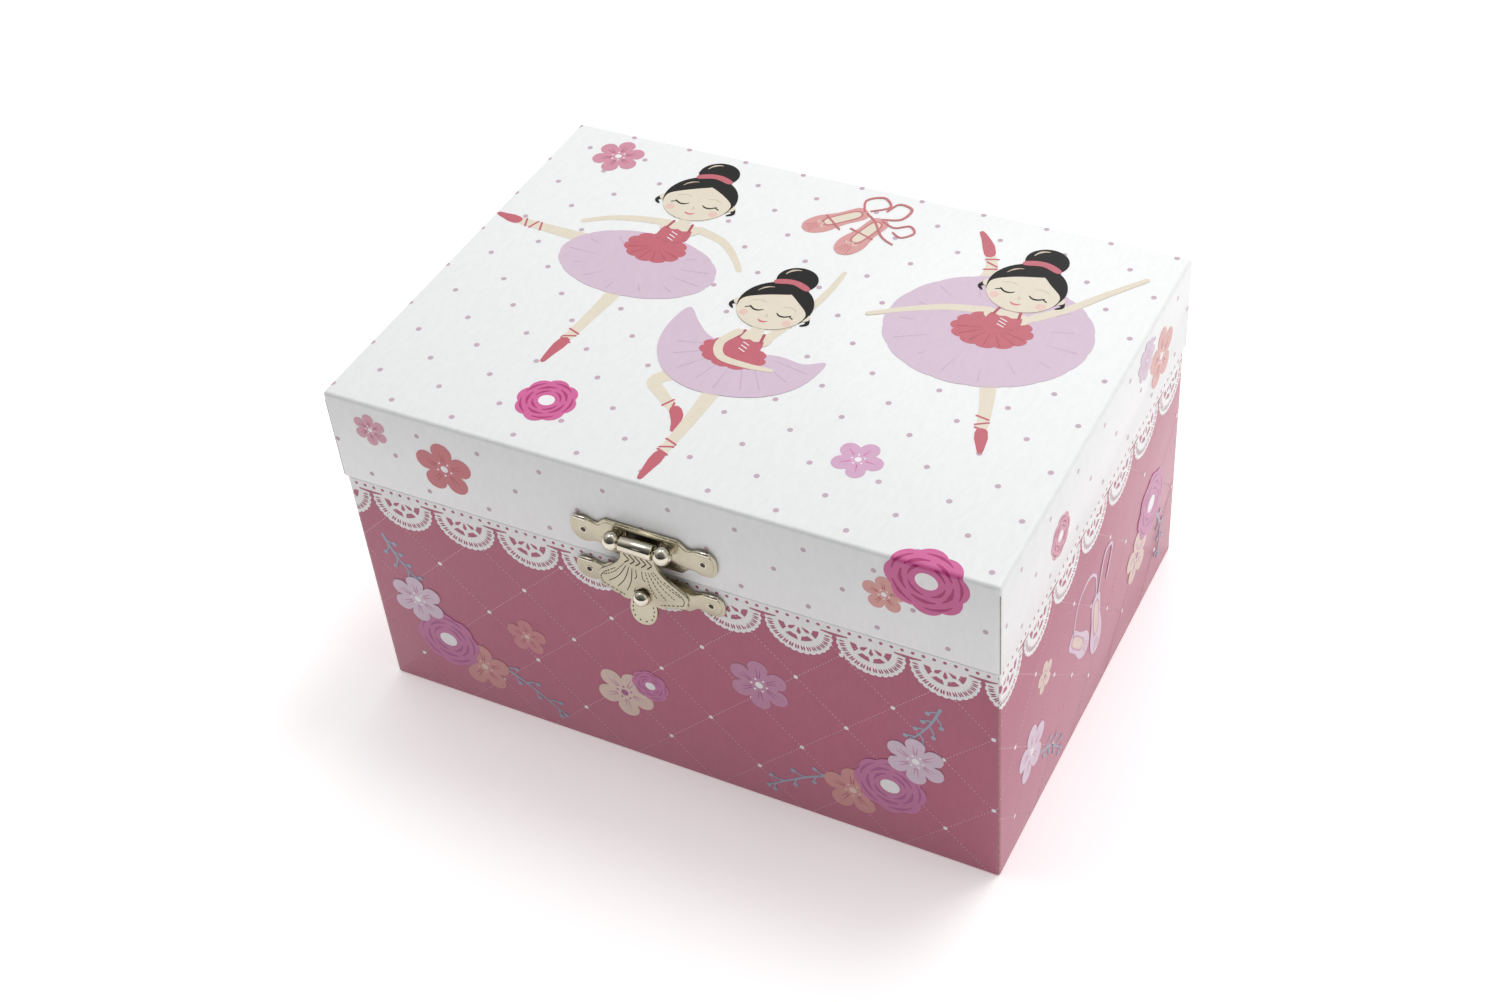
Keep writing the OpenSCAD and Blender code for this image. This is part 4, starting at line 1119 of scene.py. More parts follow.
def lace(face, width, firstCusp):
    # a crocheted edging: a pierced band with deep scalloped lobes under it
    pitch = 2 * (box["width"] + box["depth"]) / 33 / printing["scale"]
    low, reach = 28.2, 8.1
    start = firstCusp - 2 * pitch
    count = int(width / pitch) + 4
    edge = [(start, 23.0)]
    bottom = []
    holes = []
    for i in range(count):
        left = start + i * pitch
        middle = left + pitch / 2
        bottom += [(left + 3.1, 27.42), (left + 3.1, 27.8), (left + 0.35, 28.25)]
        for j in range(121):
            a = math.pi * j / 120
            wave = 1 + 0.05 * abs(math.sin(15 * a)) ** 0.7
            rx, ry = (pitch / 2 - 0.35) * wave / 1.05, reach * wave
            bottom.append((middle - rx * math.cos(a), low + 0.9 + (ry - 0.9) * math.sin(a)))
        bottom += [(left + pitch - 0.35, 28.25), (left + pitch - 3.1, 27.8),
                   (left + pitch - 3.1, 27.42)]
        for j in range(7):
            holes.append(circle(left + (j + 0.5) * pitch / 7, 26.2, 0.46, 8))
        # slits in pairs behind each little wave of the rim
        for j in range(30):
            a = math.pi * (j + 0.5) / 30
            lean = a + (0.012 if j % 2 else -0.012)
            points = [(middle - r * 1.03 * math.cos(b), low + 0.55 + r * 0.98 * math.sin(b))
                      for r, b in ((5.8, a), (6.45, lean), (7.02, lean))]
            holes.append(stroke(points, [0.2, 0.48, 0.34], 2, 2))
        # an open fan: four bars round it and three drops inside
        for begin, end in ((3, 37), (47, 86), (94, 133), (143, 177)):
            turns = [math.radians(begin + (end - begin) * k / 6) for k in range(7)]
            ring = [(middle - 4.75 * math.cos(a), low + 4.65 * math.sin(a)) for a in turns]
            ring += [(middle - 3.35 * math.cos(a), low + 3.35 * math.sin(a))
                     for a in turns[-2:0:-1]]
            holes.append(ring)
        for a, r in ((90, 1.75), (35, 2.0), (145, 2.0)):
            c, s = -math.cos(math.radians(a)), math.sin(math.radians(a))
            points = [(middle + c * (r + k), low + s * (r + k)) for k in (-1.0, 0.35, 0.85)]
            holes.append(stroke(points, [0.25, 1.1, 0.5], 2, 2))
    ink(face, "case", "lace", [edge + bottom + [(start + count * pitch, 23.4)]] + holes, 2)


def bodyGroup(face, x, side):
    # the gathered flowers at each end: side 1 grows to the right, -1 to the left
    twig(face, "case", [(x - 6 * side, 41), (x - 3.4 * side, 47), (x + 0.8 * side, 53)], side, 1, 1.15)
    twig(face, "case", [(x + 18 * side, 73), (x + 27 * side, 77.5), (x + 37 * side, 84.6)],
         -side, 1, 1.15)
    bloom(face, "case", x + 15.6 * side, 76.6, 7.2, 5, "bodyPeach", "petalVein", "cream", 6)
    rose(face, "case", x + 6.4 * side, 70.9, 8.7, "purple", "purpleDeep", 9)
    bloom(face, "case", x, 59.8, 7.2, 6, "palePetal", "bodyMauve", "white", 12)


def printBodyFront(face):
    quilting(face, 160, 10.3, 56.3)
    lace(face, 160, 6.4)
    bodyGroup(face, 12.6, 1)
    bodyGroup(face, 140.3, -1)
    bloom(face, "case", 42.6, 60.7, 5.4, 5, "bodySalmon", "petalVein", "cream", 4)
    bloom(face, "case", 67.5, 69, 7.5, 5, "cream", "bodyMauve", "purpleDeep", 4, -60)
    rose(face, "case", 74.8, 63.8, 4.8, "purple", "purpleDeep", 7)
    bloom(face, "case", 103.4, 51.4, 7.5, 6, "bodyMauve", "purpleDeep", "white", 4)


def printBodySide(face):
    quilting(face, 114.1, 9.3, 55.9)
    lace(face, 114.1, 13.2)
    bloom(face, "case", 26.1, 50.5, 4.2, 5, "cream", "bodyMauve", "purpleDeep", 4)
    bloom(face, "case", 18.9, 67.3, 7.5, 5, "palePetal", "bodyMauve", "white", 6)
    twig(face, "case", [(25, 74), (31, 78), (37, 85)], -1, 1, 1.1)
    shoe(face, "case", 47.5, 61, 48, 17, 7, "palePetal", "bodyMauve", "cream", 4)
    shoe(face, "case", 58.2, 64.6, 86, 19, 7.6, "palePetal", "bodyMauve", "cream", 8)
    ribbon(face, "case", [(43.4, 55.6), (46, 47.6), (52.6, 45.4), (57.4, 49), (57.6, 56)],
           "palePetal", 4)
    ribbon(face, "case", [(59, 55.6), (62.4, 46.6), (67.4, 47.6), (64.2, 55.4)], "palePetal", 11)
    twig(face, "case", [(100, 66), (104, 74), (103, 83)], 1, 1, 1.1)
    bloom(face, "case", 86.3, 68.2, 7.2, 5, "cream", "bodyMauve", "purpleDeep", 6)
    rose(face, "case", 95, 58.8, 9, "purple", "purpleDeep", 9)


def outlineMesh(name, loops, depth, edge=0.0, smoothEdges=2):
    # flat outlines with their holes, made a solid plate centred on its own middle plane
    curve = bpy.data.curves.new(name, "CURVE")
    curve.dimensions = "2D"
    curve.fill_mode = "BOTH"
    curve.extrude = depth / 2 - edge
    curve.bevel_depth = edge
    curve.bevel_resolution = smoothEdges if edge else 0
    for loop in loops:
        spline = curve.splines.new("POLY")
        spline.points.add(len(loop) - 1)
        for point, (x, y) in zip(spline.points, loop):
            point.co = (x, y, 0, 1)
        spline.use_cyclic_u = True
    obj = bpy.data.objects.new(name, curve)
    bpy.context.collection.objects.link(obj)
    pick(obj)
    bpy.ops.object.convert(target="MESH")
    obj = bpy.context.object
    bpy.ops.object.mode_set(mode="EDIT")
    bpy.ops.mesh.select_all(action="SELECT")
    bpy.ops.mesh.remove_doubles(threshold=1e-4)
    bpy.ops.mesh.normals_make_consistent(inside=False)
    bpy.ops.object.mode_set(mode="OBJECT")
    return obj


def cutAcross(obj, lines):
    # extra edges across a flat piece so that it can curve: (axis, position) in its own plane
    pick(obj)
    bpy.ops.object.mode_set(mode="EDIT")
    for axis, place in lines:
        bpy.ops.mesh.select_all(action="SELECT")
        if axis == "x":
            bpy.ops.mesh.bisect(plane_co=(place, 0, 0), plane_no=(1, 0, 0))
        else:
            bpy.ops.mesh.bisect(plane_co=(0, place, 0), plane_no=(0, 1, 0))
    bpy.ops.object.mode_set(mode="OBJECT")


def stand(obj, matrix):
    obj.data.transform(matrix)
    obj.data.update()
    return obj


def facing(x, y, z):
    # a plane piece stood up to face the front, in metres
    return (Matrix.Scale(mm, 4) @ Matrix.Translation((x, y, z))
            @ Matrix.Rotation(math.pi / 2, 4, "X"))


def revolve(name, profile, steps=48):
    # a turned shape from (radius, height) points, about its own Z, in millimetres
    mesh = bpy.data.meshes.new(name)
    mesh.from_pydata([(r, 0, z) for r, z in profile],
                     [(i, i + 1) for i in range(len(profile) - 1)], [])
    obj = bpy.data.objects.new(name, mesh)
    bpy.context.collection.objects.link(obj)
    pick(obj)
    bpy.ops.object.mode_set(mode="EDIT")
    bpy.ops.mesh.select_all(action="SELECT")
    bpy.ops.mesh.spin(steps=steps, angle=math.tau, center=(0, 0, 0), axis=(0, 0, 1))
    bpy.ops.mesh.select_all(action="SELECT")
    bpy.ops.mesh.remove_doubles(threshold=1e-4)
    bpy.ops.mesh.normals_make_consistent(inside=False)
    bpy.ops.object.mode_set(mode="OBJECT")
    return obj


def tube(name, points, radii, sides=14, closed=False):
    # a smooth tapering round bar along a path, in millimetres
    count = len(points)
    verts, faces = [], []
    guide = Vector((0.13, 1, 0.21)).normalized()
    for i, point in enumerate(points):
        a = Vector(points[(i - 1) % count] if closed else points[max(i - 1, 0)])
        b = Vector(points[(i + 1) % count] if closed else points[min(i + 1, count - 1)])
        along = (b - a).normalized()
        side = along.cross(guide).normalized()
        over = side.cross(along).normalized()
        r = radii[i] if not isinstance(radii, (int, float)) else radii
        for j in range(sides):
            t = j * math.tau / sides
            verts.append(Vector(point) + side * r * math.cos(t) + over * r * math.sin(t))
    for i in range(count if closed else count - 1):
        for j in range(sides):
            k, n = (j + 1) % sides, (i + 1) % count
            faces.append((i * sides + j, i * sides + k, n * sides + k, n * sides + j))
    if not closed:
        faces.append(tuple(range(sides))[::-1])
        faces.append(tuple((count - 1) * sides + j for j in range(sides)))
    mesh = bpy.data.meshes.new(name)
    mesh.from_pydata(verts, [], faces)
    obj = bpy.data.objects.new(name, mesh)
    bpy.context.collection.objects.link(obj)
    pick(obj)
    bpy.ops.object.mode_set(mode="EDIT")
    bpy.ops.mesh.select_all(action="SELECT")
    bpy.ops.mesh.normals_make_consistent(inside=False)
    bpy.ops.object.mode_set(mode="OBJECT")
    return obj


def smoothPath(points, steps=5):
    # the first three numbers are the place, the fourth the radius
    return flow(points, steps, closed=False)


def limb(name, points, sides=16, steps=5):
    path = smoothPath(points, steps)
    first, last = path[0], path[-1]
    ends = []
    for point, near, way in ((first, path[1], -1), (last, path[-2], 1)):
        out = (Vector(point[:3]) - Vector(near[:3])).normalized()
        tips = [(0.38, 0.92), (0.7, 0.71), (0.92, 0.38)]
        row = [(*(Vector(point[:3]) + out * point[3] * d), point[3] * s) for d, s in tips]
        ends.append(row[::-1] if way < 0 else row)
    path = ends[0] + path + ends[1]
    return tube(name, [p[:3] for p in path], [p[3] for p in path], sides)


def ball(name, at, radii, segments=28, rings=18):
    deselect()
    bpy.ops.mesh.primitive_uv_sphere_add(segments=segments, ring_count=rings, radius=1)
    obj = bpy.context.object
    obj.name = name
    obj.data.transform(Matrix.Translation(at) @ Matrix.Diagonal((*radii, 1)))
    return obj


def rod(name, at, radius, length, axis="Z", segments=32, edge=0.0):
    # a round bar centred on a point, in millimetres
    deselect()
    bpy.ops.mesh.primitive_cylinder_add(vertices=segments, radius=radius, depth=length)
    obj = bpy.context.object
    obj.name = name
    if edge:
        editEdges(obj, lambda e: abs(e.verts[0].co.z - e.verts[1].co.z) < 1e-6)
        bpy.ops.mesh.bevel(offset=edge, segments=3)
        endEdit()
    turn = {"Z": Matrix.Identity(4), "X": Matrix.Rotation(math.pi / 2, 4, "Y"),
            "Y": Matrix.Rotation(math.pi / 2, 4, "X")}[axis]
    obj.data.transform(Matrix.Translation(at) @ turn)
    return obj


def inMetres(obj):
    obj.data.transform(Matrix.Scale(mm, 4))
    obj.data.update()
    return obj


def refine(node, finishName, edge=0.0, segments=2):
    # a CAD piece keeps its mesh and gets its finish and softened edges
    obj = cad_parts[node]
    obj.data.materials.clear()
    obj.data.materials.append(finishes[finishName])
    if edge:
        weld = obj.modifiers.new("weld", "WELD")
        weld.merge_threshold = 1e-6
        bevel = obj.modifiers.new("edge", "BEVEL")
        bevel.width = edge * mm
        bevel.segments = segments
        bevel.limit_method = "ANGLE"
        bevel.angle_limit = math.radians(40)
        bevel.use_clamp_overlap = True
    return obj


hasp = {"pin": corners("hasp_pin")}
clasp = {
    "x": -0.8,
    "plate": (67.6, -box["depth"] / 2, 33, 8.4),
    "catch": (55.9, -box["depth"] / 2 + box["inset"], 34, 7.2),
    "thick": 0.6,
    "pivotY": (hasp["pin"][0][1] + hasp["pin"][1][1]) / 2,
    "pivotZ": (hasp["pin"][0][2] + hasp["pin"][1][2]) / 2,
    "barrel": (1.7, 7.4),
    "bead": (5.75, 1.95, 2.1),
    "tongueThick": 0.8,
    "stud": (1.9, -56.9),
}


def plateOutline(wide, tall):
    # half of the pressed outline: straight middle, notched shoulder, round ear
    half = [(0, 4.2), (7.6, 4.2), (8.4, 4.1), (9.2, 3.5), (10.0, 2.75), (11.0, 2.6), (12.0, 3.0),
            (12.9, 3.25), (14.9, 3.15), (15.9, 2.5), (16.4, 1.3), (16.5, 0), (16.3, -1.5),
            (15.5, -2.7), (14.2, -3.2), (12.8, -3.1), (11.5, -2.55), (10.4, -2.5), (9.5, -3.2),
            (8.6, -4.0), (7.6, -4.2), (0, -4.2)]
    half = [(u * wide / 33, v * tall / 8.4) for u, v in half]
    full = half + [(-u, v) for u, v in half[::-1][1:-1]]
    return flow(full, 3)


def claspPlate(which, body, slotName, node):
    z, face, wide, tall = clasp[which]
    t = clasp["thick"]
    loops = [plateOutline(wide, tall)]
    parts = []
    if which == "plate":
        window = [(-3.7, 3.0), (3.7, 3.0), (3.7, -0.8), (-3.7, -0.8)]
        loops.append(window)
        # a dark sheet behind the window: painted shadow of the gap between the standing-off plate and
        # the lid
        shade = outlineMesh("claspWindowShadow", [[(-4.4, 3.4), (4.4, 3.4), (4.4, -1.4), (-4.4, -1.4)]], 0.1)
        stand(shade, facing(clasp["x"], face - 0.06, z))
        finish(shade, "claspWindowShadow", "paintedShadeSteel", body, slotName)
    plate = outlineMesh(which, loops, t, 0.14)
    stand(plate, facing(clasp["x"], face - t / 2, z))
    parts.append(plate)
    raised = plateOutline(wide * 0.955, tall * 0.86)
    inner = [raised]
    if which == "plate":
        inner.append([(-4.1, 3.2), (4.1, 3.2), (4.1, -1.2), (-4.1, -1.2)])
    boss = outlineMesh(which + "Boss", inner, 0.3, 0.14)
    stand(boss, facing(clasp["x"], face - t, z))
    parts.append(boss)
    piece = joinAll(parts, node + "Plate")
    smooth(piece, 40)
    finish(piece, node + "Plate", "nickel", body, slotName, node)
    # the rolled lobe tops and the rims round the pins in the brighter nickel: real rolled edges and
    # rims, their extra brightness a painted highlight
    bright, dark = [], []
    for side in (-1, 1):
        bright.append(rod("roll", (clasp["x"] + side * wide * 0.423, face - t - 0.16,
                                   z + tall * 0.368), 0.5, wide * 0.09, "X", 24, 0.25))
        u = side * (wide / 2 - 2.95)
        deselect()
        bpy.ops.mesh.primitive_torus_add(major_radius=0.72, minor_radius=0.14, major_segments=24,
                                         minor_segments=8)
        ring = bpy.context.object
        ring.data.transform(Matrix.Translation((clasp["x"] + u, face - t - 0.15, z))
                            @ Matrix.Rotation(math.pi / 2, 4, "X"))
        bright.append(ring)
        # the pin heads in a dark finish: real nail heads, their darkness painted shade of the sunk
        # dimples round them
        dark.append(rod("pinHead", (clasp["x"] + u, face - t - 0.12, z), 0.54, 0.2, "Y", 20, 0.06))
    rolls = inMetres(joinAll(bright, node + "Rolls"))
    smooth(rolls)
    finish(rolls, node + "Rolls", "polishedNickelAndHighlight", body, slotName)
    heads = inMetres(joinAll(dark, node + "Pins"))
    finish(heads, node + "Pins", "paintedShadeSteel", body, slotName)


def tongueCurve(u, v):
    # how far the stamped tongue stands forward at a place below its barrel
    crown = 0.28 * (1 - min(1, abs(u) / 10.5) ** 2)
    flare = 0.55 * max(0, (abs(u) - 5) / 5.3) ** 2 if v < -6 else 0
    tab = 0.075 * max(0, -14.2 - v) ** 1.55
    return crown + tab - flare * 0.3


def claspTongue():
    half = [(3.7, 0.4), (3.75, -2.6), (4.1, -4.0), (5.0, -5.4), (6.4, -6.8), (8.3, -8.3),
            (9.7, -9.6), (10.3, -10.9), (9.9, -12.2)]
    edge = flow(half, 4, closed=False)
    scallop = []
    for k, (x, y, r) in enumerate(((8.6, -12.5, 1.5), (6.0, -13.2, 1.6), (3.9, -13.9, 1.5))):
        for j in range(7):
            a = math.radians(20 - j * 26 if k == 0 else 0 - j * 22)
            scallop.append((x + r * math.cos(a), y + r * 0.62 * math.sin(a)))
    tab = [(2.8, -14.9), (3.0, -16.2), (2.85, -17.6), (2.2, -18.9), (1.2, -19.6), (0, -19.8)]
    right = edge + scallop + flow(tab, 4, closed=False)
    outline = right + [(-x, y) for x, y in right[::-1][1:]]
    eye = oval(0, clasp["catch"][0] - clasp["pivotZ"] + 0.3, 2.05, 2.4, 0, 32)
    t = clasp["tongueThick"]
    tongue = outlineMesh("tongue", [outline, eye], t, 0.14)
    cutAcross(tongue, [("y", -v) for v in (2, 3.5, 5, 6.5, 8, 9.5, 11, 12.5, 14, 14.8, 15.6, 16.4,
                                           17.2, 18, 18.8, 19.6, 20.3)]
              + [("x", u) for u in (-9, -7.5, -6, -4.5, -3, -1.5, 0, 1.5, 3, 4.5, 6, 7.5, 9)])
    for vertex in tongue.data.vertices:
        vertex.co.z += tongueCurve(vertex.co.x, vertex.co.y)
    front = clasp["pivotY"] + 0.5
    stand(tongue, facing(clasp["x"], front - t / 2, clasp["pivotZ"]))
    r, length = clasp["barrel"]
    barrel = inMetres(rod("barrel", (clasp["x"], clasp["pivotY"], clasp["pivotZ"]), r, length, "X",
                          48, 0.22))
    smooth(barrel)
    finish(barrel, "haspBarrel", "polishedNickelAndHighlight", "hasp", "nickel")
    smooth(tongue, 40)
    finish(tongue, "haspTongue", "nickel", "hasp", "nickel", "hasp_tongue")
    marks = []

    def dash(x0, y0, x1, y1, width=0.17):
        marks.append(stroke([(x0, y0), (x1, y1)], width, 1, 2))

    for k in range(5):
        u = -2.5 + k * 1.3
        dash(u - 0.55, -2.1, u + 0.5, -3.2, 0.28)
        dash(u + 0.5, -3.45, u - 0.55, -4.5, 0.28)
    for side in (-1, 1):
        rays = (((3.4, -5.0), (8.9, -10.2)), ((2.9, -5.4), (7.6, -11.4)), ((2.2, -5.6), (5.6, -12.2)),
                ((1.5, -5.7), (3.4, -12.4)), ((0.7, -5.8), (1.2, -8.4)))
        for i, (a, b) in enumerate(rays):
            points = flow([a, ((a[0] + b[0]) / 2 - 0.25, (a[1] + b[1]) / 2 - 0.5), b], 10, closed=False)
            every = 1 if side < 0 and 0 < i < 4 else 2
            for j in range(0, len(points) - 1, every):
                (x0, y0), (x1, y1) = points[j], points[j + 1]
                if every == 1:
                    x1, y1 = x0 + (x1 - x0) * 0.86, y0 + (y1 - y0) * 0.86
                dash(side * x0, y0, side * x1, y1, 0.2)
        rim = [(u - 0.75, v - 0.25) for u, v in half[4:]] + [(8.6, -12.6), (6.2, -13.3), (4.2, -13.9)]
        points = flow(rim, 5, closed=False)
        for j in range(0, len(points) - 1, 2):
            (x0, y0), (x1, y1) = points[j], points[j + 1]
            dash(side * x0, y0, side * x1, y1, 0.23)
        for u, v in ((2.3, -15.2), (2.45, -16.2), (2.35, -17.2), (1.95, -18.2)):
            dash(side * u, v, side * u, v - 0.2, 0.3)
        dash(side * 0.8, -18.95, side * 0.65, -19.05, 0.3)
    # the stamped dashes in a dark finish, standing just proud of the tongue: painted shade of the
    # pressed dots and dashes
    stamps = outlineMesh("stamps", marks, 0.1)
    for vertex in stamps.data.vertices:
        vertex.co.z += tongueCurve(vertex.co.x, vertex.co.y)
    stand(stamps, facing(clasp["x"], front - t + 0.03, clasp["pivotZ"]))
    finish(stamps, "haspStamping", "stamped", "hasp", "nickel")


def claspBeads():
    out, rx, r = clasp["bead"]
    beads = []
    for side in (-1, 1):
        x = clasp["x"] + side * out
        beads.append(ball("bead", (x, clasp["pivotY"], clasp["pivotZ"]), (rx, r, r), 32, 20))
        beads.append(rod("collar", (x, clasp["pivotY"] + 1.2, clasp["pivotZ"]), 1.45, 1.7, "Y", 28, 0.3))
        beads.append(ball("tip", (x + side * 1.75, clasp["pivotY"], clasp["pivotZ"]),
                          (0.35, 0.8, 0.8), 20, 10))
    piece = inMetres(joinAll(beads, "haspBeads"))
    smooth(piece, 60)
    finish(piece, "haspBeads", "polishedNickelAndHighlight", "lid", "nickel")
    refine("hasp_pin", "steel")
    radius, y = clasp["stud"]
    z = clasp["catch"][0]
    base = clasp["catch"][1]
    stud = revolve("stud", [(0, 0), (1.5, 0), (1.5, 0.75), (1.1, 1.0), (0.8, 1.2), (0.8, 3.2)]
                   + [(radius * math.cos(math.radians(a)), base - y + radius * math.sin(math.radians(a)))
                      for a in range(-55, 90, 9)] + [(0, base - y + radius)], 36)
    stud.data.transform(facing(clasp["x"], base, z))
    smooth(stud, 50)
    finish(stud, "catchStud", "polishedNickelAndHighlight", "case", "nickel", "catch_stud")


def backNails():
    for node, body in (("lid_nails", "lid"), ("case_nails", "case")):
        _, high = corners(node)
        back = high[1] - 0.58
        z = 67.5 if body == "lid" else 54.5
        heads = []
        for side in (-1, 1):
            for end in (-1, 1):
                x = side * 42 + end * 5
                head = revolve("head", [(0, 0.58), (0.35, 0.55), (0.65, 0.45), (0.9, 0.28),
                                        (1.02, 0.08), (1.02, 0), (0, 0)], 24)
                head.data.transform(Matrix.Translation((x, back, z))
                                    @ Matrix.Rotation(-math.pi / 2, 4, "X"))
                heads.append(head)
        piece = inMetres(joinAll(heads, node + "Heads"))
        smooth(piece, 40)
        finish(piece, node + "Heads", "nickel", body, "nickel", node)


def innerPieces():
    for node in ("base_board", "front_board", "back_board", "left_board", "right_board",
                 "lid_top_board", "lid_front_board", "lid_back_board", "lid_left_board",
                 "lid_right_board"):
        refine(node, "greyboard", 0.9 if "base" not in node else 0, 3)
    refine("wall_lining", "flock", 0.12)
    refine("floor_lining", "flock")
    refine("long_dividers", "flock", 0.4)
    refine("cross_wall", "flock", 0.4)
    refine("tray_divider", "flock", 0.45)
    refine("deck", "flock", 0.4)
    refine("deck_lining", "flock", 0.2)
    refine("lid_lining", "flock", 0.12)
    refine("stop_block", "flock", 0.8, 3)
    refine("mirror", "mirror", 0.5)
    for node in ("case_hinge_leaves", "lid_hinge_leaves"):
        refine(node, "nickel", 0.09)
    refine("hinge_pins", "steel", 0.1)
    refine("winding_key", "polishedNickelAndHighlight", 0.35, 3)
    refine("key_arbor", "steel", 0.15)
    for node in ("bedplate", "comb_base", "spring_housing", "top_plate", "governor_arm"):
        refine(node, "nickel", 0.2)
    for node in ("comb", "movement_screws", "turntable_spindle", "drum_arbor", "stop_rod"):
        refine(node, "steel", 0.06)
    for node in ("drive_wheel", "music_drum", "foot_bearing"):
        refine(node, "brass", 0.05)
    refine("governor", "whitePlastic", 0.08)
    refine("spindle_post", "postPlastic", 0.2)


def mirrorFrame():
    # a flocked card border with a round-cornered window, lying on the mirror's face
    low, high = corners("mirror_frame")
    glassLow, _ = corners("mirror")
    outer = [(low[0], low[1]), (high[0], low[1]), (high[0], high[1]), (low[0], high[1])]
    w, d = high[0] - 6.4, high[1] - 6.4
    inner = []
    for x, y, start in ((w, d, 0), (-w, d, 90), (-w, -d, 180), (w, -d, 270)):
        for k in range(6):
            a = math.radians(start + k * 18)
            inner.append((x + 3 * math.cos(a), y + 3 * math.sin(a)))
    border = outlineMesh("mirrorBorder", [outer, inner], glassLow[2] - low[2] - 0.02, 0.22, 3)
    border.data.transform(Matrix.Scale(mm, 4)
                          @ Matrix.Translation((0, 0, (low[2] + glassLow[2]) / 2)))
    smooth(border, 40)
    finish(border, "mirrorBorder", "velvet", "lid", "flock", "mirror_frame")


rolls = {"fill": 0.75, "radius": 5.5, "cap": 0.45, "rings": 30, "sides": 28}


def rollShape(x0, x1, y, z):
    # one stuffed velvet roll with gathered, domed ends
    length = x1 - x0
    points, radii = [], []
    for i in range(rolls["rings"] + 1):
        t = i / rolls["rings"]
        end = min(t, 1 - t) * length
        r = rolls["radius"] * (1 - 0.34 * max(0, 1 - end / 2.2) ** 2.2)
        points.append((x0 + length * t, y, z))
        radii.append(r * 0.985)
    return tube("roll", points, radii, rolls["sides"])


def ringRolls():
    low, high = corners("ring_rolls")
    span = high[1] - low[1]
    count = int(span / 11.2)
    pitch = span / count
    z = high[2] - rolls["radius"]
    first = inMetres(rollShape(low[0] + 0.1, high[0] - 0.1, 0, z))
    first = puffed(first, z * mm)
    smooth(first, 60)
    base = addBlock((low[0], low[1], low[2]), (high[0], high[1], z - 3.2))
    editEdges(base, lambda e: levelAt(e, z - 3.2))
    bpy.ops.mesh.bevel(offset=0.8 * mm, segments=3)
    endEdit()
    finish(base, "rollBase", "flock", "case", "padding", "ring_rolls")
    for k in range(count):
        y = low[1] + (k + 0.5) * pitch
        if k < count - 1:
            pick(first)
            bpy.ops.object.duplicate(linked=False)
            roll = bpy.context.object
        else:
            roll = first
        squeeze = min(1.0, (pitch / 2 - 0.04) / rolls["radius"])
        roll.data.transform(Matrix.Translation((0, y * mm, 0)) @ Matrix.Diagonal((1, squeeze, 1, 1)))
        finish(roll, "ringRoll" + str(k + 1), "velvet", "case", "padding")


def puffed(pad, centre):
    # swell the cover over its stuffing; the underside is held by the insert
    rest = [v.co.copy() for v in pad.data.vertices]
    pinned = pad.vertex_groups.new(name="held")
    for v in pad.data.vertices:
        if v.co.z < centre - 0.6 * rolls["radius"] * mm:
            pinned.add([v.index], 1.0, "REPLACE")
    pick(pad)
    cloth = pad.modifiers.new("cloth", "CLOTH")
    cloth.settings.use_pressure = True
    cloth.settings.uniform_pressure_force = 4
    cloth.settings.vertex_group_mass = "held"
    cloth.settings.tension_stiffness = 20
    cloth.settings.shear_stiffness = 8
    cloth.settings.bending_stiffness = 0.4
    cloth.settings.shrink_min = -0.06
    cloth.settings.effector_weights.gravity = 0
    cloth.point_cache.frame_start = 1
    cloth.point_cache.frame_end = 20
    for number in range(1, 21):
        bpy.context.scene.frame_set(number)
    bpy.ops.object.modifier_apply(modifier=cloth.name)
    bpy.context.scene.frame_set(1)
    for v, was in zip(pad.data.vertices, rest):
        move = v.co - was
        if move.length > rolls["cap"] * mm:
            v.co = was + move.normalized() * rolls["cap"] * mm
    applyModifier(pad, "SUBSURF", levels=1, render_levels=1)
    return pad


dancer = {"x": 0.0, "y": 0.76, "z": 63.77, "fold": 78.0, "spring": (6.0, 57.3), "length": 9.0,
          "coil": 2.2, "wire": 0.34, "turns": 8}


def dancerPlace():
    return (Matrix.Scale(mm, 4) @ Matrix.Translation((dancer["x"], dancer["y"], dancer["z"]))
            @ Matrix.Rotation(math.radians(dancer["fold"]), 4, "X"))


def dancerPiece(parts, name, finishName, slotName, *nodes, angle=60):
    piece = joinAll(parts, name)
    piece.data.transform(dancerPlace())
    smooth(piece, angle)
    return finish(piece, name, finishName, "dancer", slotName, *nodes)


def turntableDisc():
    y = dancer["spring"][0]
    low, high = corners("turntable")
    disc = revolve("disc", [(0, 0), (9.1, 0), (9.7, 0.15), (10, 0.5), (9.85, 0.85), (9.3, 0.95),
                            (8.6, 0.9), (8.3, 1.05), (3.6, 1.38), (3.2, 1.4), (0, 1.4)], 72)
    disc.data.transform(Matrix.Scale(mm, 4) @ Matrix.Translation((0, y, low[2])))
    smooth(disc, 50)
    finish(disc, "turntableDisc", "whitePlastic", "turntable", "white_plastic", "turntable")
    ringProfile = [(2.5, 0), (3.0, 0), (3.0, 0.45), (2.8, 0.7), (2.5, 0.7), (2.5, 0)]
    collar = revolve("collar", ringProfile, 40)
    collar.data.transform(Matrix.Scale(mm, 4) @ Matrix.Translation((0, y, high[2])))
    smooth(collar, 50)
    finish(collar, "springSeat", "whitePlastic", "turntable", "white_plastic")


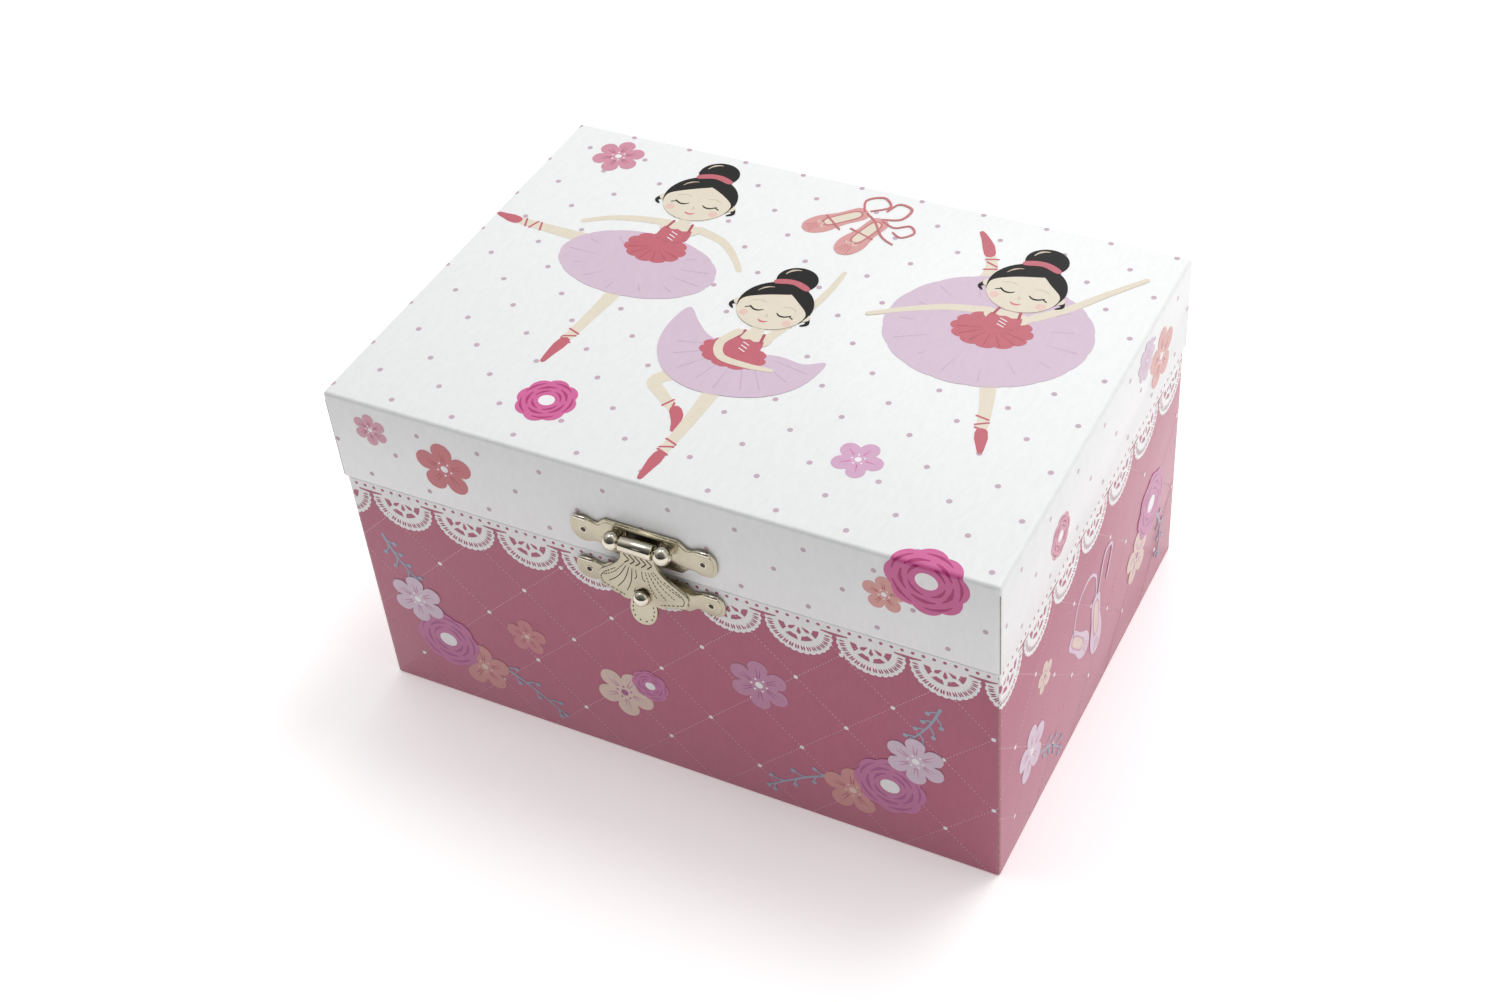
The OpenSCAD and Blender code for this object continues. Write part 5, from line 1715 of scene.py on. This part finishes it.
def dancerSpring():
    y, z = dancer["spring"]
    fold = math.radians(dancer["fold"])
    length = dancer["length"]
    n = dancer["turns"] * 14
    points = []
    for i in range(n + 1):
        s = 0.03 + 0.94 * i / n
        f = fold * s
        cy = -length / fold * (1 - math.cos(f))
        cz = length / fold * math.sin(f)
        a = math.tau * dancer["turns"] * i / n
        q = dancer["coil"]
        points.append((q * math.cos(a), y + cy + q * math.sin(a) * math.cos(f),
                       z + cz + q * math.sin(a) * math.sin(f)))
    coil = inMetres(tube("coil", points, dancer["wire"], 8))
    smooth(coil, 60)
    finish(coil, "dancerSpring", "polishedNickelAndHighlight", None, "nickel", "dancer_spring")
    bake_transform(coil)


def dancerFigure():
    skin = [
        limb("leg", [(0, 0.1, 1.6, 0.5), (0, 0.1, 3.0, 0.58), (0.05, 0.25, 5.6, 0.95),
                     (0.1, 0.1, 8.6, 0.84), (0.25, 0, 11.6, 1.22), (0.55, 0, 15.2, 1.6)]),
        limb("thigh", [(-0.8, 0, 14.8, 1.5), (-2.8, -0.5, 13.5, 1.25), (-4.5, -0.9, 12.2, 0.98)]),
        limb("calf", [(-4.5, -0.9, 12.2, 0.95), (-3.3, -0.6, 10.8, 0.9), (-2.0, -0.3, 9.6, 0.66),
                      (-1.2, -0.1, 8.9, 0.5)]),
        limb("trunk", [(0, 0, 15, 1.7), (0, 0, 19, 1.6), (0, 0, 22.6, 1.85), (0, 0, 24.0, 1.75),
                       (0, 0, 24.9, 1.2)]),
        limb("neck", [(0, 0.1, 24.6, 0.95), (0, 0, 26.4, 0.72), (0, 0, 28.8, 0.8)]),
        ball("shoulder", (1.9, 0, 24.3), (0.95, 0.9, 0.9), 18, 12),
        ball("shoulder", (-1.9, 0, 24.3), (0.95, 0.9, 0.9), 18, 12),
        ball("head", (0, 0, 30.9), (2.45, 2.5, 2.95), 36, 24),
        ball("chin", (0, -0.55, 28.9), (1.35, 1.35, 1.1), 22, 14),
        ball("nose", (0, -2.5, 30.3), (0.26, 0.3, 0.36), 14, 10),
        ball("ear", (2.42, 0.2, 30.4), (0.3, 0.5, 0.65), 14, 10),
        ball("ear", (-2.42, 0.2, 30.4), (0.3, 0.5, 0.65), 14, 10),
    ]
    for side in (-1, 1):
        skin.append(limb("arm", [(side * 1.9, 0, 24.3, 0.85), (side * 3.6, -0.4, 25.8, 0.78),
                                 (side * 5.15, -1.1, 28.8, 0.68), (side * 4.9, -1.35, 31.8, 0.62),
                                 (side * 3.6, -1.4, 34.4, 0.5), (side * 2.3, -1.4, 36.1, 0.38)]))
        skin.append(limb("hand", [(side * 2.3, -1.4, 36.1, 0.42), (side * 1.6, -1.45, 36.8, 0.46),
                                  (side * 0.75, -1.5, 37.1, 0.24)], 12, 4))
    body = joinAll(skin, "dancerBody")
    applyModifier(body, "REMESH", mode="VOXEL", voxel_size=0.17, use_smooth_shade=True)
    applyModifier(body, "SMOOTH", factor=0.5, iterations=3)
    applyModifier(body, "DECIMATE", ratio=0.4)
    dancerPiece([body], "dancerBody", "skin", "skin", "dancer_figure", angle=180)
    slippers = [
        limb("slipper", [(0, 0.05, 0.95, 0.5), (0, 0.1, 1.8, 0.62), (0, 0.12, 2.6, 0.64)]),
        limb("slipper", [(-0.75, 0, 8.3, 0.42), (-1.15, -0.08, 8.8, 0.55), (-1.6, -0.2, 9.3, 0.66)]),
    ]
    for i in range(3):
        slippers.append(tube("lace", [(0.68 * math.cos(a), 0.14 + 0.68 * math.sin(a),
                                       3.0 + i * 0.6 + 0.22 * math.sin(a + i * math.pi))
                                      for a in [k * math.tau / 20 for k in range(20)]], 0.1, 6, True))
    dancerPiece(slippers, "dancerSlippers", "rosePlastic", "bodice")
    face()
    bodice = revolve("bodice", [(1.2, 17.0), (2.5, 16.9), (2.42, 17.6), (1.98, 19.0), (1.82, 19.9),
                                (1.95, 21.0), (2.18, 22.3), (2.24, 23.0), (2.1, 23.5), (1.2, 23.5),
                                (1.2, 17.0)], 44)
    for v in bodice.data.vertices:
        if v.co.z > 21.5:
            v.co.z += 0.42 * abs(math.cos(1.5 * math.atan2(v.co.x, -v.co.y))) - 0.2
        v.co.y *= 0.93
    applyModifier(bodice, "SUBSURF", levels=1, render_levels=1)
    trims = [bodice]
    trims.append(tube("sash", [(2.0 * math.cos(a), 1.86 * math.sin(a), 19.75)
                               for a in [k * math.tau / 36 for k in range(36)]], 0.2, 8, True))
    for side in (-1, 1):
        trims.append(limb("strap", [(side * 1.2, -1.6, 23.2, 0.2), (side * 1.35, -0.75, 24.9, 0.2),
                                    (side * 1.35, 0.6, 25.0, 0.2), (side * 1.2, 1.6, 23.3, 0.2)], 8))
        trims.append(ball("bow", (side * 0.5, -2.1, 19.8), (0.5, 0.22, 0.34), 16, 10))
    dancerPiece(trims, "dancerBodice", "rosePlastic", "bodice", "dancer_bodice")
    hair()


def face():
    # calm closed eyes, soft brows and a small smile, each a thin painted layer on the head
    def onHead(u, v, lift=0.03):
        a, b = math.radians(u), math.radians(v)
        r = 1 + lift / 2.5
        return (2.45 * r * math.sin(a) * math.cos(b), -2.5 * r * math.cos(a) * math.cos(b),
                30.9 + 2.95 * r * math.sin(b))

    darkParts = []
    for side in (-1, 1):
        lid = [onHead(side * u, v) for u, v in ((36, -2), (30, -6), (23, -7), (16, -4))]
        darkParts.append(tube("lid", lid, [0.05, 0.1, 0.1, 0.05], 6))
        brow = [onHead(side * u, v) for u, v in ((38, 10), (27, 13), (17, 11))]
        darkParts.append(tube("brow", brow, [0.03, 0.06, 0.04], 6))
    dancerPiece(darkParts, "dancerLashes", "hair", "hair")
    lips = [tube("smile", [onHead(u, v) for u, v in ((-11, -25), (-5, -28), (0, -28.6), (5, -28),
                                                     (11, -25))], [0.04, 0.12, 0.14, 0.12, 0.04], 8)]
    dancerPiece(lips, "dancerSmile", "rosePlastic", "bodice")


def hair():
    cap = ball("cap", (0, 0.3, 31.3), (2.78, 2.72, 3.0), 40, 26)
    pick(cap)
    bpy.ops.object.mode_set(mode="EDIT")
    bpy.ops.mesh.select_all(action="SELECT")
    bpy.ops.mesh.bisect(plane_co=(0, -0.75, 31.4), plane_no=(0, -0.92, -0.52), use_fill=True,
                        clear_outer=True)
    bpy.ops.object.mode_set(mode="OBJECT")
    for v in cap.data.vertices:
        a = math.atan2(v.co.x, v.co.z - 31)
        v.co += Vector((v.co.x, v.co.y, v.co.z - 31)).normalized() * 0.045 * math.sin(16 * a)
    bun = ball("bun", (0, 1.2, 34.7), (1.5, 1.5, 1.25), 30, 20)
    for v in bun.data.vertices:
        a = math.atan2(v.co.x, v.co.y - 1.2)
        v.co += Vector((v.co.x, v.co.y - 1.2, 0)) * 0.035 * math.sin(9 * a + (v.co.z - 34) * 2.4)
    dancerPiece([cap, bun], "dancerHair", "hair", "hair", "dancer_hair")
    band = tube("band", [(1.32 * math.cos(a), 1.1 + 1.32 * math.sin(a), 33.85 - 0.12 * math.sin(a))
                         for a in [k * math.tau / 32 for k in range(32)]], 0.22, 8, True)
    dancerPiece([band], "dancerBand", "rosePlastic", "bodice")


tutu = {"outer": 10.1, "inner": 1.9, "top": 16.6, "layers": 3, "rings": 16, "around": 216,
        "waves": 18, "cloth": 0.09}


def dancerTutu():
    # three gathered nets, each dipping a little lower and rippling more towards its hem
    for layer in range(tutu["layers"]):
        reach = tutu["outer"] - 0.7 * layer
        verts, faces = [], []
        for i in range(tutu["rings"] + 1):
            t = i / tutu["rings"]
            r = tutu["inner"] + (reach - tutu["inner"]) * t
            drop = 2.9 * t ** 1.8 + 0.95 * layer * t ** 0.7 + 0.25 * layer
            for j in range(tutu["around"]):
                a = j * math.tau / tutu["around"]
                ripple = 0.62 * t ** 1.5 * math.sin(tutu["waves"] * a + layer * 1.9)
                ripple += 0.16 * t * math.sin(7 * a + layer)
                side = 0.05 * t * math.cos(tutu["waves"] * a + layer * 1.9)
                verts.append(((r + 0.1 * t * math.sin(5 * a)) * math.cos(a + side / 3),
                              (r + 0.1 * t * math.sin(5 * a)) * math.sin(a + side / 3),
                              tutu["top"] + 0.25 - drop + ripple))
        for i in range(tutu["rings"]):
            for j in range(tutu["around"]):
                k = (j + 1) % tutu["around"]
                a, b = i * tutu["around"], (i + 1) * tutu["around"]
                faces.append((a + j, b + j, b + k, a + k))
        mesh = bpy.data.meshes.new("net")
        mesh.from_pydata(verts, [], faces)
        net = bpy.data.objects.new("net", mesh)
        bpy.context.collection.objects.link(net)
        net.data.transform(dancerPlace())
        area = sum(p.area for p in net.data.polygons)
        print("scene: net", layer, round(area * 1e6, 1), "mm2")
        applyModifier(net, "SOLIDIFY", thickness=tutu["cloth"] * mm, offset=0)
        smooth(net, 60)
        name = "tutuNet" + str(layer + 1)
        nodes = ("dancer_tutu",) if layer == 0 else ()
        finish(net, name, "tulle", "dancer", "tulle", *nodes)
    waist = tube("waist", [(2.25 * math.cos(a), 2.25 * math.sin(a), 16.95)
                           for a in [k * math.tau / 36 for k in range(36)]], 0.28, 8, True)
    dancerPiece([waist], "tutuWaist", "rosePlastic", "bodice")


def dancerCup():
    cup = revolve("cup", [(0, 0), (2.3, 0), (2.6, 0.15), (2.7, 0.4), (2.62, 1.0), (2.2, 1.3), (0.9, 1.4),
                          (0, 1.4)], 40)
    cup.data.transform(dancerPlace())
    smooth(cup, 50)
    finish(cup, "dancerCup", "whitePlastic", "dancer", "white_plastic", "dancer_cup")


def step(text):
    print("scene:", text, flush=True)


def printBox():
    printLidTop()
    printLidFront("front")
    printLidFront("back")
    printLidSide("right")
    printLidSide("left")
    printBodyFront("front")
    printBodyFront("back")
    printBodySide("right")
    printBodySide("left")
    printEverything()


finishes = makeFinishes()
addCamera()
step("camera")
addStudio()
lidPaper()
casePaper()
step("papers")
printBox()
step("print")
claspPlate("plate", "lid", "nickel", "hasp_plate")
claspPlate("catch", "case", "nickel", "catch_plate")
claspTongue()
claspBeads()
backNails()
step("clasp")
innerPieces()
mirrorFrame()
ringRolls()
step("inside")
turntableDisc()
dancerSpring()
dancerCup()
dancerFigure()
dancerTutu()
step("dancer")
